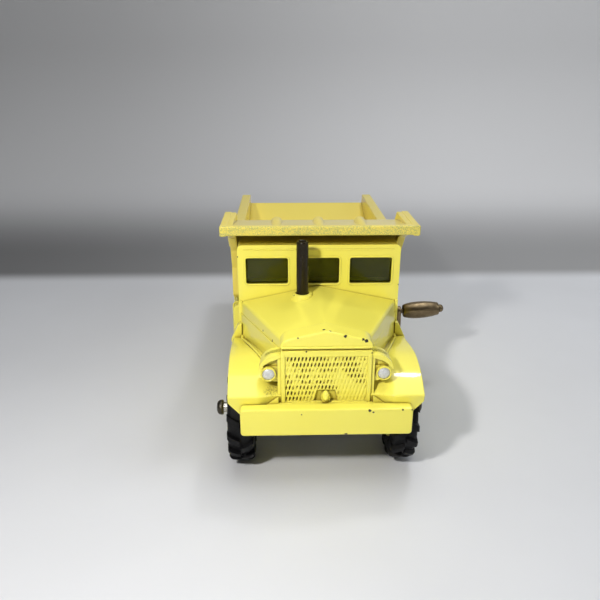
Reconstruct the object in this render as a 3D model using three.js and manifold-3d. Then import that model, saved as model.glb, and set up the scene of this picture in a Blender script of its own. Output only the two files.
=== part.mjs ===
// Die-cast toy rear dump truck: cab and chassis casting, tipping body lifted by a
// crank, worm and toothed lift arm, and six rubber tyred wheels. Millimetres, +Z up.
// The truck faces -Y. It is drawn with x = 0 on its centre line, y = 0 on the
// bumper's face and z = 0 on the ground, and the whole group is then centred.
import * as THREE from 'three';
import { mergeVertices } from 'three/addons/utils/BufferGeometryUtils.js';
import { ConvexGeometry } from 'three/addons/geometries/ConvexGeometry.js';
import Module from 'manifold-3d';

const wasm = await Module();
wasm.setup();

// ---- driving dimensions ----
const LENGTH = 142;
const GAP = 0.3; // between pieces that touch

const TYRE_R = 14.6;
const TYRE_W = 7.0;
const FRONT_AXLE_Y = 18.4;
const REAR_AXLE_Y = 92;
const OUTER_WHEEL_X = 22.1;
const INNER_WHEEL_X = 14.1;
const AXLE_R = 1.45;
const AXLE_BORE_R = 1.8;
const AXLE_FLOAT = -0.4; // the wheels sit to the right-hand side of the truck
const ARCH_R = TYRE_R + 0.45;
const HUB = { r: 8.2, flangeR: 8.9, half: TYRE_W / 2 };
const LUGS = { perSide: 16, height: 1.7 };

const CAB_HALF = 24.4;
const CAB_FRONT_Y = 41.2;
const CAB_REAR_Y = 54.2;
const CAB_ROOF_Z = 55.6;
const WALL = 1.6;
const WINDOW_Z = [43.7, 51.9];
const SIDE_PANE_X = [9.0, 22.2];
const CENTRE_PANE_X = 6.4;
const SIDE_WINDOW_Y = [44, 51.6];
const REAR_WINDOW_X = 8;
const PANE_CORNER_R = 0.9;

const HOOD = { front: 8.4, ridgeRear: 42.9, ridgeFront: 43.4 };
const HOOD_REAR = CAB_FRONT_Y + 0.6;

// Side view of a front wing's crown, as (y, z).
const WING_CROWN = [
  [2.3, 21], [2.3, 27.1], [4.6, 28.9], [8.2, 30.3], [12, 31], [18.3, 31.1],
  [26, 29.8], [32, 28.4], [38, 27.1], [CAB_FRONT_Y + 0.5, 26.4],
];
const WING_X = [11, 27];
const WELL_X = [17.2, 30]; // the wheel's space inside a wing

const RADIATOR_HALF = 11.5;
const GRILLE_HALF = 10.5;
const GRILLE_Y = 4.6;
const LAMP = { x: 14.7, z: 32, r: 1.9 };
const STACK = { x: -5.2, y: 34, r: 1.72, top: 58.9, foot: 40.6 };
const STACK_BOSS = { r: 2.85, z: [41, 43.2] };
const BUMPER = { half: 21.9, y: [0, 3], z: [17.1, 24.8] };
const TANK = { x: [-27.6, -24], y: [57.2, 71], z: [14.5, 30] };

const FRAME_HALF = 24.4; // side beams beside the lift gear
const REAR_RAIL_X = [5.2, 8.4];
const FRAME_Z = [12.6, 25];
const REAR_WALL_Y = [75, 76.4];
const PLATE = { z: [11.4, 12.2], x: 15.8, y: [9.6, 54], rivets: [13.4, 49] };
const RIVET_R = 1.6;

const BODY_HALF = 28.9;
const PANEL_X = [25.2, 27.6];
const CANOPY_Y = 37;
const CANOPY_Z = [59.5, 62.35];
const CANOPY_REAR_Y = 56;
const HEADBOARD_Y = 58.6;
const SIDE_TOP_Z = 50.3;
const FLOOR_Z = [32, 34];
const TAIL_Z = [44.3, 46.3];
const TAIL_Y = 104; // the floor starts to rise here, on its under side
const CANOPY_RIBS = { x: [-12.6, 0, 12.6], y: [38.2, 49.2], z: 60.55, r: 1.75 };
const SIDE_RIBS = { first: 71, step: 14.5, width: 2.2, count: 5 };

const TILT = { y: 112, z: 27, max: 38, pinR: 1.2, boreR: 1.5 };

// Lift gear: a worm on the crank shaft turns a toothed arm about a lengthwise pin.
const WORM_TEETH_PER_TURN = 20;
const WORM_PITCH = 2.4;
const GEAR_R = (WORM_TEETH_PER_TURN * WORM_PITCH) / (2 * Math.PI);
const WORM_R = 2.4;
const GEAR_Y = 64;
const ARM = { x: -12.6, z: 26, length: 27.8, from: -8, to: 66, y: [71.9, 73.5], tipR: 1.8 };
const SHAFT_Z = ARM.z - GEAR_R - WORM_R;
const SHAFT_R = 1.4;
const SHAFT_FROM = -23.4;
const ARM_PIN_R = 1.3;
const ARM_PIN_Y = [55.3, 76.7];
const PAD = { x: [-4.5, 17.5], y: [65.2, 74.7], clearance: 0.4 };
const CRANK = { x: 28.9, thick: 1.4, radius: 8.7, cant: 4 };
const GRIP = { start: 0.5, length: 12.4, bore: 1.1 };

const ORIGIN_X = (-29.9 + 45.2) / 2;

const deg = THREE.MathUtils.degToRad;

// ---- materials ----
function finish(color, roughness, metalness) {
  return new THREE.MeshStandardMaterial({ color, roughness, metalness });
}
const yellowPaint = finish(0xf2e24a, 0.45, 0.1);
const blackRubber = finish(0x17171a, 0.85, 0);
const blackPlastic = finish(0x1d1511, 0.3, 0);
const tintedGlass = finish(0x39400f, 0.12, 0);
const brightSteel = finish(0x8d8a80, 0.35, 0.9);
const darkSteel = finish(0x4b463d, 0.45, 0.9);
const bronzeSteel = finish(0x5b4a36, 0.4, 0.9);
const bareZinc = finish(0x9b9b96, 0.5, 0.8);

// ---- solids ----
function solid(geometry) {
  const bare = geometry.index ? geometry.toNonIndexed() : geometry.clone();
  bare.deleteAttribute('normal');
  bare.deleteAttribute('uv');
  const merged = mergeVertices(bare, 1e-4);
  const vertices = Float32Array.from(merged.attributes.position.array);
  const source = merged.index.array;
  const triangles = [];
  for (let i = 0; i < source.length; i += 3) {
    const [a, b, c] = [source[i], source[i + 1], source[i + 2]];
    if (a !== b && b !== c && c !== a) triangles.push(a, b, c);
  }
  const corner = (i) => new THREE.Vector3().fromArray(vertices, 3 * i);
  let volume = 0;
  for (let i = 0; i < triangles.length; i += 3) {
    const [a, b, c] = triangles.slice(i, i + 3).map(corner);
    volume += a.dot(b.cross(c)) / 6;
  }
  if (volume < 0) triangles.reverse();
  const triVerts = Uint32Array.from(triangles);
  const mesh = new wasm.Mesh({ numProp: 3, vertProperties: vertices, triVerts });
  return new wasm.Manifold(mesh);
}

function join(...parts) {
  return parts.flat().reduce((sum, part) => sum.add(part));
}

function cut(base, ...tools) {
  return tools.flat().reduce((rest, tool) => rest.subtract(tool), base);
}

function block(x, y, z) {
  const geometry = new THREE.BoxGeometry(x[1] - x[0], y[1] - y[0], z[1] - z[0]);
  geometry.translate((x[0] + x[1]) / 2, (y[0] + y[1]) / 2, (z[0] + z[1]) / 2);
  return solid(geometry);
}

// The same x range on either side of the centre line: side is 1 or -1.
function sided(side, x) {
  return side > 0 ? x : [-x[1], -x[0]];
}

function toShape(outline) {
  if (outline instanceof THREE.Shape) return outline;
  return new THREE.Shape(outline.map(([a, b]) => new THREE.Vector2(a, b)));
}

const PLANES = {
  x: new THREE.Matrix4().set(0, 0, 1, 0, 1, 0, 0, 0, 0, 1, 0, 0, 0, 0, 0, 1),
  y: new THREE.Matrix4().set(1, 0, 0, 0, 0, 0, -1, 0, 0, 1, 0, 0, 0, 0, 0, 1),
  z: new THREE.Matrix4(),
};

// An outline pushed along one axis. Its own two axes are (y, z), (x, z) or (x, y).
function prism(axis, outline, range, curveSegments = 8) {
  const depth = range[1] - range[0];
  const options = { depth, bevelEnabled: false, curveSegments };
  const geometry = new THREE.ExtrudeGeometry(toShape(outline), options);
  geometry.translate(0, 0, axis === 'y' ? -range[1] : range[0]);
  return solid(geometry.applyMatrix4(PLANES[axis]));
}

const TURNS = {
  x: new THREE.Matrix4().makeRotationZ(-Math.PI / 2),
  y: new THREE.Matrix4(),
  z: new THREE.Matrix4().makeRotationX(Math.PI / 2),
};

// A round bar along an axis through centre, over a range on that axis.
function bar(axis, centre, range, radius, sides = 20) {
  const geometry = new THREE.CylinderGeometry(radius, radius, range[1] - range[0], sides);
  geometry.applyMatrix4(TURNS[axis]);
  const middle = (range[0] + range[1]) / 2;
  const place = { x: [middle, ...centre], y: [centre[0], middle, centre[1]], z: [...centre, middle] };
  geometry.translate(...place[axis]);
  return solid(geometry);
}

// A turned piece: profile points are [radius, distance along the axis].
function turned(axis, profile, sides = 28) {
  const points = profile.map(([r, s]) => new THREE.Vector2(r, s));
  return solid(new THREE.LatheGeometry(points, sides).applyMatrix4(TURNS[axis]));
}

function hull(points) {
  return solid(new ConvexGeometry(points.map((p) => new THREE.Vector3(...p))));
}

function roundedBox(x, z, r) {
  const shape = new THREE.Shape();
  shape.moveTo(x[0] + r, z[0]);
  shape.lineTo(x[1] - r, z[0]);
  shape.absarc(x[1] - r, z[0] + r, r, -Math.PI / 2, 0, false);
  shape.lineTo(x[1], z[1] - r);
  shape.absarc(x[1] - r, z[1] - r, r, 0, Math.PI / 2, false);
  shape.lineTo(x[0] + r, z[1]);
  shape.absarc(x[0] + r, z[1] - r, r, Math.PI / 2, Math.PI, false);
  shape.lineTo(x[0], z[0] + r);
  shape.absarc(x[0] + r, z[0] + r, r, Math.PI, 1.5 * Math.PI, false);
  return shape;
}

const truck = new THREE.Group();
truck.position.set(-ORIGIN_X, -LENGTH / 2, 0);

function node(name, shape, material, parent = truck) {
  const result = shape.getMesh();
  const geometry = new THREE.BufferGeometry();
  const position = new THREE.BufferAttribute(Float32Array.from(result.vertProperties), 3);
  geometry.setAttribute('position', position);
  geometry.setIndex(new THREE.BufferAttribute(Uint32Array.from(result.triVerts), 1));
  const mesh = new THREE.Mesh(geometry, material.clone());
  mesh.name = name;
  parent.add(mesh);
  return mesh;
}

// ---- cab, bonnet, wings and chassis: one casting ----
function cab() {
  const outline = [
    [-CAB_HALF, 24], [CAB_HALF, 24], [CAB_HALF, CAB_ROOF_Z - 1],
    [CAB_HALF - 1, CAB_ROOF_Z], [1 - CAB_HALF, CAB_ROOF_Z], [-CAB_HALF, CAB_ROOF_Z - 1],
  ];
  const shell = prism('y', outline, [CAB_FRONT_Y, CAB_REAR_Y]);
  const inside = block(
    [WALL - CAB_HALF, CAB_HALF - WALL],
    [CAB_FRONT_Y + WALL, CAB_REAR_Y - WALL],
    [10, CAB_ROOF_Z - WALL],
  );
  return cut(shell, inside, windowOpenings());
}

function windowOpenings() {
  const front = [CAB_FRONT_Y - 1, CAB_FRONT_Y + WALL + 1];
  const rear = [CAB_REAR_Y - WALL - 1, CAB_REAR_Y + 1];
  const openings = [
    prism('y', roundedBox([-CENTRE_PANE_X, CENTRE_PANE_X], WINDOW_Z, PANE_CORNER_R), front, 3),
    prism('y', roundedBox([-REAR_WINDOW_X, REAR_WINDOW_X], WINDOW_Z, PANE_CORNER_R), rear, 3),
    prism('x', roundedBox(SIDE_WINDOW_Y, WINDOW_Z, PANE_CORNER_R), [-CAB_HALF - 1, CAB_HALF + 1], 3),
  ];
  for (const side of [-1, 1]) {
    const pane = roundedBox(sided(side, SIDE_PANE_X), WINDOW_Z, PANE_CORNER_R);
    openings.push(prism('y', pane, front, 3));
  }
  return openings;
}

function hoodHull(inset) {
  const points = [];
  for (const side of [-1, 1]) {
    points.push([side * (24.4 - inset), HOOD_REAR - inset, 24.5 - 4 * inset]);
    points.push([side * (23.9 - inset), HOOD_REAR - inset, 37.8 - inset]);
    points.push([side * (13.4 - inset), HOOD.front + inset, 28 - 4 * inset]);
    points.push([side * (11.2 - inset), HOOD.front + inset, 40.2 - inset]);
  }
  points.push([0, HOOD_REAR - inset, HOOD.ridgeRear - inset]);
  points.push([0, HOOD.front + inset, HOOD.ridgeFront - inset]);
  return hull(points);
}

function wing(side) {
  const outline = [...WING_CROWN, [CAB_FRONT_Y + 0.5, 19], [34.5, 19], [28, 14], [6, 14], [2.3, 17.2]];
  const full = prism('x', outline, sided(side, WING_X));
  const plan = [[11, 2], [25.1, 2], [26.5, 42], [11, 42]].map(([x, y]) => [side * x, y]);
  const trimmed = full.intersect(prism('z', plan, [10, 35]));
  const well = bar('x', [FRONT_AXLE_Y, TYRE_R], sided(side, WELL_X), ARCH_R, 40);
  const corner = [[25.2, 25.6], [21.9, 21.2], [21.9, 10], [30, 10], [30, 25.6]];
  const cornerCut = prism('y', corner.map(([x, z]) => [side * x, z]), [1, 9]);
  const engineBay = block(sided(side, [10, 15.9]), [3.8, 50], [5, 27]);
  return cut(trimmed, well, cornerCut, engineBay);
}

function radiator() {
  const cap = [
    [-11.6, 39.4], [11.6, 39.4], [11.6, 40.4], [10.6, 41.4], [9, 42.2],
    [0, 44.1], [-9, 42.2], [-10.6, 41.4], [-11.6, 40.4],
  ];
  const band = block([-RADIATOR_HALF, RADIATOR_HALF], [GRILLE_Y, 10], [37.7, 39.2]);
  const recess = 0.7;
  const shell = block([-RADIATOR_HALF, RADIATOR_HALF], [GRILLE_Y - 0.1, 10], [23, 37.9]);
  const opening = block([-GRILLE_HALF, GRILLE_HALF], [3, GRILLE_Y + recess], [24.3, 37.3]);
  const neck = block([-10.9, 10.9], [GRILLE_Y + 0.5, 10], [38.8, 39.8]);
  const notch = [[-2.3, 27.6], [2.3, 27.6], [3, 24], [-3, 24]];
  return join(
    cut(shell, opening),
    band,
    neck,
    prism('y', cap, [GRILLE_Y + 0.2, 10.4]),
    grilleBars(),
    prism('y', notch, [GRILLE_Y - 0.4, GRILLE_Y + 1.2]),
    bar('y', [0, 26.1], [GRILLE_Y - 1.6, GRILLE_Y + 1], 0.95, 12),
  );
}

function grilleBars() {
  const bars = [];
  const count = 9;
  for (let i = 0; i < count; i += 1) {
    const x = -GRILLE_HALF + ((i + 0.5) * 2 * GRILLE_HALF) / count;
    bars.push(block([x - 0.45, x + 0.45], [GRILLE_Y, GRILLE_Y + 1.2], [24, 37.6]));
  }
  return bars;
}

function lampMount(side) {
  const x = side * LAMP.x;
  const brow = new THREE.Shape();
  const outer = 3.4;
  brow.moveTo(side * 11, LAMP.z + 4.3);
  brow.lineTo(side * 15, LAMP.z + outer);
  brow.lineTo(side * 17.2, LAMP.z + 1.6);
  brow.lineTo(side * 18, LAMP.z - 0.6);
  brow.lineTo(side * 17.2, LAMP.z - 0.6);
  brow.lineTo(side * 16.4, LAMP.z + 1.1);
  brow.lineTo(side * 14.6, LAMP.z + 2.6);
  brow.lineTo(side * 11, LAMP.z + 3.4);
  return join(
    prism('y', brow, [5.6, 9.4]),
    block(sided(side, [11, 18.2]), [8.2, 10.2], [23, 35.2]),
    block(sided(side, [10.9, 15.6]), [6.6, 9], [30, 34]),
    bar('y', [x, LAMP.z], [5.2, 9], LAMP.r, 20),
  );
}

function frame() {
  const [low, high] = FRAME_Z;
  const tailRadius = 4.3;
  const parts = [
    block([-FRAME_HALF, FRAME_HALF], [CAB_REAR_Y - 1.2, CAB_REAR_Y + 0.6], [low, high + 1]),
    block([-FRAME_HALF, FRAME_HALF], REAR_WALL_Y, [low, high]),
    block([-REAR_RAIL_X[1], REAR_RAIL_X[1]], [75, 107], [high - 2, high]),
    block([-14, 14], [8, 10], [low, 24]),
  ];
  for (const side of [-1, 1]) {
    const rear = sided(side, REAR_RAIL_X);
    parts.push(block(sided(side, [22.8, FRAME_HALF]), [CAB_FRONT_Y, REAR_WALL_Y[1]], [low, high + 2]));
    parts.push(block(rear, [75, TILT.y - 2], [low, high]));
    parts.push(bar('x', [TILT.y, TILT.z], rear, tailRadius, 24));
    parts.push(prism('x', [[100, 22], [TILT.y + 2, 23.2], [TILT.y - 2, 30.8], [103, high]], rear));
    parts.push(block(sided(side, [12.4, 15.9]), [8, CAB_REAR_Y], [low, 24]));
    parts.push(block(sided(side, [12.4, 23]), [CAB_FRONT_Y - 1.6, CAB_FRONT_Y], [low, 28]));
  }
  return join(parts);
}

function frameHoles() {
  return [
    bar('x', [FRONT_AXLE_Y, TYRE_R], [-30, 30], AXLE_BORE_R, 20),
    bar('x', [REAR_AXLE_Y, TYRE_R], [-10, 10], AXLE_BORE_R, 20),
    bar('x', [TILT.y, TILT.z], [-10, 10], TILT.boreR, 20),
    bar('x', [GEAR_Y, SHAFT_Z], [SHAFT_FROM - 0.5, 30], SHAFT_R + 0.35, 20),
    bar('y', [ARM.x, ARM.z], [ARM_PIN_Y[0] - GAP, 80], ARM_PIN_R + 0.35, 16),
  ];
}

function fuelTank() {
  return prism('y', roundedBox(TANK.x, TANK.z, 1.5), TANK.y, 3);
}

// Two posts stand in the casting to carry the lift arm's pin.
function armPosts() {
  const post = (y) => join(
    prism('y', [[ARM.x - 3, ARM.z], [ARM.x + 3, ARM.z], [ARM.x + 3, 12.6], [ARM.x - 3, 12.6]], y),
    bar('y', [ARM.x, ARM.z], y, 3, 20),
  );
  return join(post([CAB_REAR_Y, 58.4]), post(REAR_WALL_Y));
}

function chassisCasting() {
  const hood = cut(hoodHull(0), hoodHull(WALL));
  const wells = [-1, 1].map((side) =>
    bar('x', [FRONT_AXLE_Y, TYRE_R], sided(side, WELL_X), ARCH_R, 40));
  const boss = bar('z', [STACK.x, STACK.y], STACK_BOSS.z, STACK_BOSS.r, 24);
  const bonnet = cut(join(hood, boss), wells);
  const face = roundedBox([-BUMPER.half, BUMPER.half], BUMPER.z, 0.7);
  const bumper = prism('y', face, BUMPER.y, 3);
  const body = join(
    cab(),
    bonnet,
    wing(-1),
    wing(1),
    radiator(),
    lampMount(-1),
    lampMount(1),
    bumper,
    frame(),
    fuelTank(),
    armPosts(),
  );
  const stackHole = bar('z', [STACK.x, STACK.y], [38, 60], STACK.r + GAP, 24);
  return cut(body, stackHole, frameHoles(), wells);
}

node('cab_and_chassis_casting', chassisCasting(), yellowPaint);

// ---- cab glazing: one clear moulding with raised panes ----
function glazing() {
  const inner = CAB_HALF - WALL - GAP;
  const front = CAB_FRONT_Y + WALL + GAP;
  const rear = CAB_REAR_Y - WALL - GAP;
  const sheet = 1.0;
  const z = [WINDOW_Z[0] - 1.2, WINDOW_Z[1] + 1.2];
  const paneZ = [WINDOW_Z[0] + GAP, WINDOW_Z[1] - GAP];
  const proud = 0.9;
  const ring = cut(
    block([-inner, inner], [front, rear], z),
    block([sheet - inner, inner - sheet], [front + sheet, rear - sheet], [z[0] - 1, z[1] + 1]),
  );
  const panes = [
    block([GAP - CENTRE_PANE_X, CENTRE_PANE_X - GAP], [front - proud, front + 0.1], paneZ),
    block([GAP - REAR_WINDOW_X, REAR_WINDOW_X - GAP], [rear - 0.1, rear + proud], paneZ),
  ];
  const sideY = [SIDE_WINDOW_Y[0] + GAP, SIDE_WINDOW_Y[1] - GAP];
  for (const side of [-1, 1]) {
    const x = [SIDE_PANE_X[0] + GAP, SIDE_PANE_X[1] - GAP];
    panes.push(block(sided(side, x), [front - proud, front + 0.1], paneZ));
    panes.push(block(sided(side, [inner - 0.1, inner + proud]), sideY, paneZ));
  }
  return join(ring, panes);
}
node('cab_glazing', glazing(), tintedGlass);

// ---- exhaust stack ----
const stackProfile = [
  [0, STACK.foot], [STACK.r, STACK.foot], [STACK.r, STACK.top - 0.4],
  [STACK.r - 0.4, STACK.top], [STACK.r - 0.7, STACK.top],
  [STACK.r - 0.7, STACK.top - 2], [0, STACK.top - 2],
];
const stack = node('exhaust_stack', turned('z', stackProfile, 20), blackPlastic);
stack.position.set(STACK.x, STACK.y, 0);

// ---- base plate and its two rivets ----
function basePlate() {
  const plate = prism('z', roundedBox([-PLATE.x, PLATE.x], PLATE.y, 2), PLATE.z, 3);
  const holes = PLATE.rivets.map((y) => bar('z', [0, y], [10, 13], RIVET_R + GAP, 16));
  return cut(plate, holes);
}
node('base_plate', basePlate(), bareZinc);

['front', 'rear'].forEach((end, i) => {
  const head = [[0, 10.6], [2.2, 10.6], [2.7, 11.1], [RIVET_R, 11.1], [RIVET_R, 23], [0, 23]];
  const rivet = node(`base_rivet_${end}`, turned('z', head, 16), bareZinc);
  rivet.position.set(0, PLATE.rivets[i], 0);
});

// ---- wheels ----
function hub() {
  const profile = [
    [AXLE_BORE_R, -HUB.half], [HUB.flangeR, -HUB.half], [HUB.flangeR, -2.8], [HUB.r, -2.8],
    [HUB.r, 2.8], [HUB.flangeR, 2.8], [HUB.flangeR, HUB.half], [7.4, HUB.half],
    [6.6, 1.9], [3.6, 1.9], [3.1, HUB.half], [AXLE_BORE_R, HUB.half], [AXLE_BORE_R, -HUB.half],
  ];
  return turned('x', profile, 20);
}

function tyre() {
  const crown = TYRE_R - 1;
  const profile = [
    [8.5, -2.4], [11.2, -3.5], [crown, -3],
    [crown, 3], [11.2, 3.5], [8.5, 2.4], [8.5, -2.4],
  ];
  return join(turned('x', profile, 28), treadLugs(crown));
}

// Chevron lugs, each half running from the middle of the tread out to a shoulder.
function treadLugs(crown) {
  const lugs = [];
  const outline = [[0.2, 0], [2.9, 1.5], [2.9, 3.4], [0.2, 1.9]];
  for (const side of [-1, 1]) {
    const shape = outline.map(([x, t]) => [side * x, t]);
    for (let i = 0; i < LUGS.perSide; i += 1) {
      const options = { depth: LUGS.height, bevelEnabled: false };
      const geometry = new THREE.ExtrudeGeometry(toShape(shape), options);
      geometry.translate(0, -1.7, crown - 0.8);
      geometry.rotateX(((i + (side > 0 ? 0.5 : 0)) * 2 * Math.PI) / LUGS.perSide);
      lugs.push(solid(geometry));
    }
  }
  return lugs;
}

const hubSolid = hub();
const tyreSolid = tyre();

function wheel(label, x, y) {
  const place = new THREE.Group();
  place.position.set(x, y, TYRE_R);
  if (x < 0) place.rotation.z = Math.PI;
  truck.add(place);
  node(`${label}_hub`, hubSolid, yellowPaint, place);
  node(`${label}_tyre`, tyreSolid, blackRubber, place);
}

for (const [label, side] of [['right', -1], ['left', 1]]) {
  wheel(`front_${label}`, side * OUTER_WHEEL_X + AXLE_FLOAT, FRONT_AXLE_Y);
  wheel(`rear_${label}_outer`, side * OUTER_WHEEL_X + AXLE_FLOAT, REAR_AXLE_Y);
  wheel(`rear_${label}_inner`, side * INNER_WHEEL_X, REAR_AXLE_Y);
}

// ---- axles: steel rods with domed ends ----
function axle(ends) {
  const head = (x, way) => [
    [AXLE_R, x - way * 1.9], [2.1, x - way * 1.8], [2.1, x - way * 0.9], [1.5, x - way * 0.25], [0, x],
  ];
  return turned('x', [...head(ends[0], -1).reverse(), ...head(ends[1], 1)], 20);
}
node('front_axle', axle([-29.9, 28.6]), darkSteel).position.set(0, FRONT_AXLE_Y, TYRE_R);
node('rear_axle', axle([-28.8, 28.6]), darkSteel).position.set(0, REAR_AXLE_Y, TYRE_R);

// ---- tipping body ----
function bodyShell() {
  const middle = [
    [CANOPY_Y, CANOPY_Z[0]], [CANOPY_Y, CANOPY_Z[1]], [38.6, CANOPY_Z[1]],
    [CANOPY_REAR_Y, 59.6], [60.6, 47], [60.6, FLOOR_Z[1]], [100, FLOOR_Z[1]],
    [LENGTH, TAIL_Z[1]], [LENGTH, TAIL_Z[0]], [TAIL_Y, FLOOR_Z[0]], [60, FLOOR_Z[0]],
    [HEADBOARD_Y, 33.4], [HEADBOARD_Y, 45], [57, 52], [55.4, 57.2], [39.2, CANOPY_Z[0]],
  ];
  return prism('x', middle, [-PANEL_X[0] - 0.4, PANEL_X[0] + 0.4]);
}

function bodySide(side) {
  const panel = [
    [CANOPY_Y, CANOPY_Z[0]], [CANOPY_Y, CANOPY_Z[1]], [CANOPY_REAR_Y, CANOPY_Z[1]],
    [67, SIDE_TOP_Z], [140.4, SIDE_TOP_Z], [LENGTH, 47.5], [LENGTH, TAIL_Z[0]],
    [TAIL_Y, FLOOR_Z[0]], [60, FLOOR_Z[0]], [HEADBOARD_Y, 33.4], [HEADBOARD_Y, 43],
    [56, 49.5], [51, 55], [44, 58.4], [40, CANOPY_Z[0]],
  ];
  const rail = [
    [CANOPY_Y, 59.1], [CANOPY_Y, CANOPY_Z[1]], [CANOPY_REAR_Y, CANOPY_Z[1]], [57.4, 61.6],
    [67, SIDE_TOP_Z], [140.4, SIDE_TOP_Z], [140.9, SIDE_TOP_Z - 2.2], [65.4, SIDE_TOP_Z - 2.2],
    [55.4, 59.6], [40, 59.1],
  ];
  const parts = [
    prism('x', panel, sided(side, PANEL_X)),
    prism('x', rail, sided(side, [26.7, BODY_HALF])),
    block(sided(side, [PANEL_X[0], BODY_HALF - 0.2]), [66.4, 140.4], [SIDE_TOP_Z - 2.1, SIDE_TOP_Z]),
  ];
  const rise = (TAIL_Z[0] - FLOOR_Z[0]) / (LENGTH - TAIL_Y);
  for (let i = 0; i < SIDE_RIBS.count; i += 1) {
    const front = SIDE_RIBS.first + i * SIDE_RIBS.step;
    const rear = front + SIDE_RIBS.width;
    const foot = FLOOR_Z[0] + 1 + Math.max(0, (rear - TAIL_Y) * rise);
    parts.push(block(sided(side, [27, 28.6]), [front, rear], [foot, SIDE_TOP_Z - 1]));
  }
  return join(parts);
}

function canopyRibs() {
  const { y, z, r } = CANOPY_RIBS;
  return CANOPY_RIBS.x.map((x) => {
    const foot = block([x - r, x + r], y, [CANOPY_Z[0] + 0.1, z]);
    return join(bar('y', [x, z], y, r, 16), foot);
  });
}

// The tip of the lift arm pushes on a pad under the body. The pad's under side is
// the path of the tip seen from the tipping body, so that one constant ratio keeps
// the two together. It clears the path of both faces of the arm.
function tipPath(armFaceY) {
  const reach = TILT.y - armFaceY;
  const steps = 12;
  const path = [];
  for (let i = 0; i <= steps; i += 1) {
    const tilt = deg((TILT.max * i) / steps);
    const swing = deg(ARM.from + ((ARM.to - ARM.from) * i) / steps);
    const height = ARM.z + ARM.length * Math.sin(swing) + ARM.tipR + PAD.clearance - TILT.z;
    const ahead = reach * Math.cos(tilt) + height * Math.sin(tilt);
    const above = height * Math.cos(tilt) - reach * Math.sin(tilt);
    path.push([TILT.y - ahead, TILT.z + above]);
  }
  return path;
}

function liftPad() {
  const top = FLOOR_Z[0] + 0.5;
  const faces = [ARM.y[0] - PAD.clearance, ARM.y[1] + PAD.clearance];
  const aboves = faces.map((face) => {
    const path = tipPath(face);
    const [rear, front] = [path[0][1], path.at(-1)[1]];
    const outline = [[80, top], [80, rear], ...path, [60, front], [60, top]];
    return prism('x', outline, PAD.x);
  });
  const sides = block(PAD.x, PAD.y, [20, top]);
  return aboves.reduce((rest, above) => rest.intersect(above), sides);
}

function tiltLugs() {
  const lug = [[TILT.y - 5, 34], [TILT.y + 5, 36.5], [TILT.y + 2.8, TILT.z], [TILT.y - 2.8, TILT.z]];
  const lugs = [-1, 1].map((side) => {
    const x = sided(side, [REAR_RAIL_X[1] + GAP, REAR_RAIL_X[1] + GAP + 2]);
    return join(prism('x', lug, x), bar('x', [TILT.y, TILT.z], x, 2.8, 20));
  });
  return lugs;
}

function tippingBody() {
  const body = join(
    bodyShell(),
    bodySide(-1),
    bodySide(1),
    canopyRibs(),
    block([-BODY_HALF, BODY_HALF], [CANOPY_Y, CANOPY_Y + 1.6], CANOPY_Z),
    liftPad(),
    tiltLugs(),
  );
  return cut(body, bar('x', [TILT.y, TILT.z], [-15, 15], TILT.boreR, 20));
}
node('tipping_body', tippingBody(), yellowPaint);

const tiltPinHead = [
  [0, -12.2], [1.9, -12.2], [1.9, -11.1], [TILT.pinR, -11.1],
  [TILT.pinR, 11.1], [1.9, 11.1], [1.9, 12.2], [0, 12.2],
];
node('tilt_pin', turned('x', tiltPinHead, 20), brightSteel).position.set(0, TILT.y, TILT.z);

// ---- lift arm with its toothed quarter, and the pin it swings on ----
function liftArm() {
  const half = 0.8;
  const y = [-half, half];
  const root = GEAR_R - 1;
  const tip = GEAR_R + 0.2;
  const toothStep = 360 / WORM_TEETH_PER_TURN;
  const swing = ARM.to - ARM.from;
  const first = Math.ceil(-(swing + 30) / toothStep);
  const last = Math.floor(30 / toothStep);
  const edge = [[0, 0]];
  for (let i = first; i <= last; i += 1) {
    const middle = -90 + i * toothStep;
    const corners = [[root, -4.6], [tip, -2.1], [tip, 2.1], [root, 4.6]];
    for (const [r, offset] of corners) {
      const a = deg(middle + offset);
      edge.push([r * Math.cos(a), r * Math.sin(a)]);
    }
  }
  const arm = [ARM.y[0] - GEAR_Y, ARM.y[1] - GEAR_Y];
  const start = deg(ARM.from);
  const tipAt = [ARM.length * Math.cos(start), ARM.length * Math.sin(start)];
  const body = join(
    prism('y', edge, y),
    bar('y', [0, 0], [-4, arm[1]], 3.1, 20),
    prism('y', bowedBeam(tipAt), arm),
    bar('y', tipAt, arm, ARM.tipR, 16),
  );
  return cut(body, bar('y', [0, 0], [-6, 12], ARM_PIN_R + GAP, 16));
}

// The arm bows downwards so that only its tip reaches the pad.
function bowedBeam(tip) {
  const from = new THREE.Vector2(0, -1.4);
  const bow = new THREE.Vector2(0.43 * tip[0], tip[1] - 7);
  const curve = new THREE.QuadraticBezierCurve(from, bow, new THREE.Vector2(...tip));
  const upper = [];
  const lower = [];
  const steps = 8;
  for (let i = 0; i <= steps; i += 1) {
    const point = curve.getPoint(i / steps);
    const tangent = curve.getTangent(i / steps);
    upper.push([point.x - 1.6 * tangent.y, point.y + 1.6 * tangent.x]);
    lower.unshift([point.x + 1.6 * tangent.y, point.y - 1.6 * tangent.x]);
  }
  return [...upper, ...lower];
}
node('lift_arm', liftArm(), brightSteel).position.set(ARM.x, GEAR_Y, ARM.z);

const armPinProfile = [
  [0, ARM_PIN_Y[0]], [ARM_PIN_R, ARM_PIN_Y[0]], [ARM_PIN_R, ARM_PIN_Y[1]],
  [2, ARM_PIN_Y[1]], [2, ARM_PIN_Y[1] + 0.7], [0, ARM_PIN_Y[1] + 0.7],
];
node('lift_arm_pin', turned('y', armPinProfile, 16), brightSteel).position.set(ARM.x, 0, ARM.z);

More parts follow.
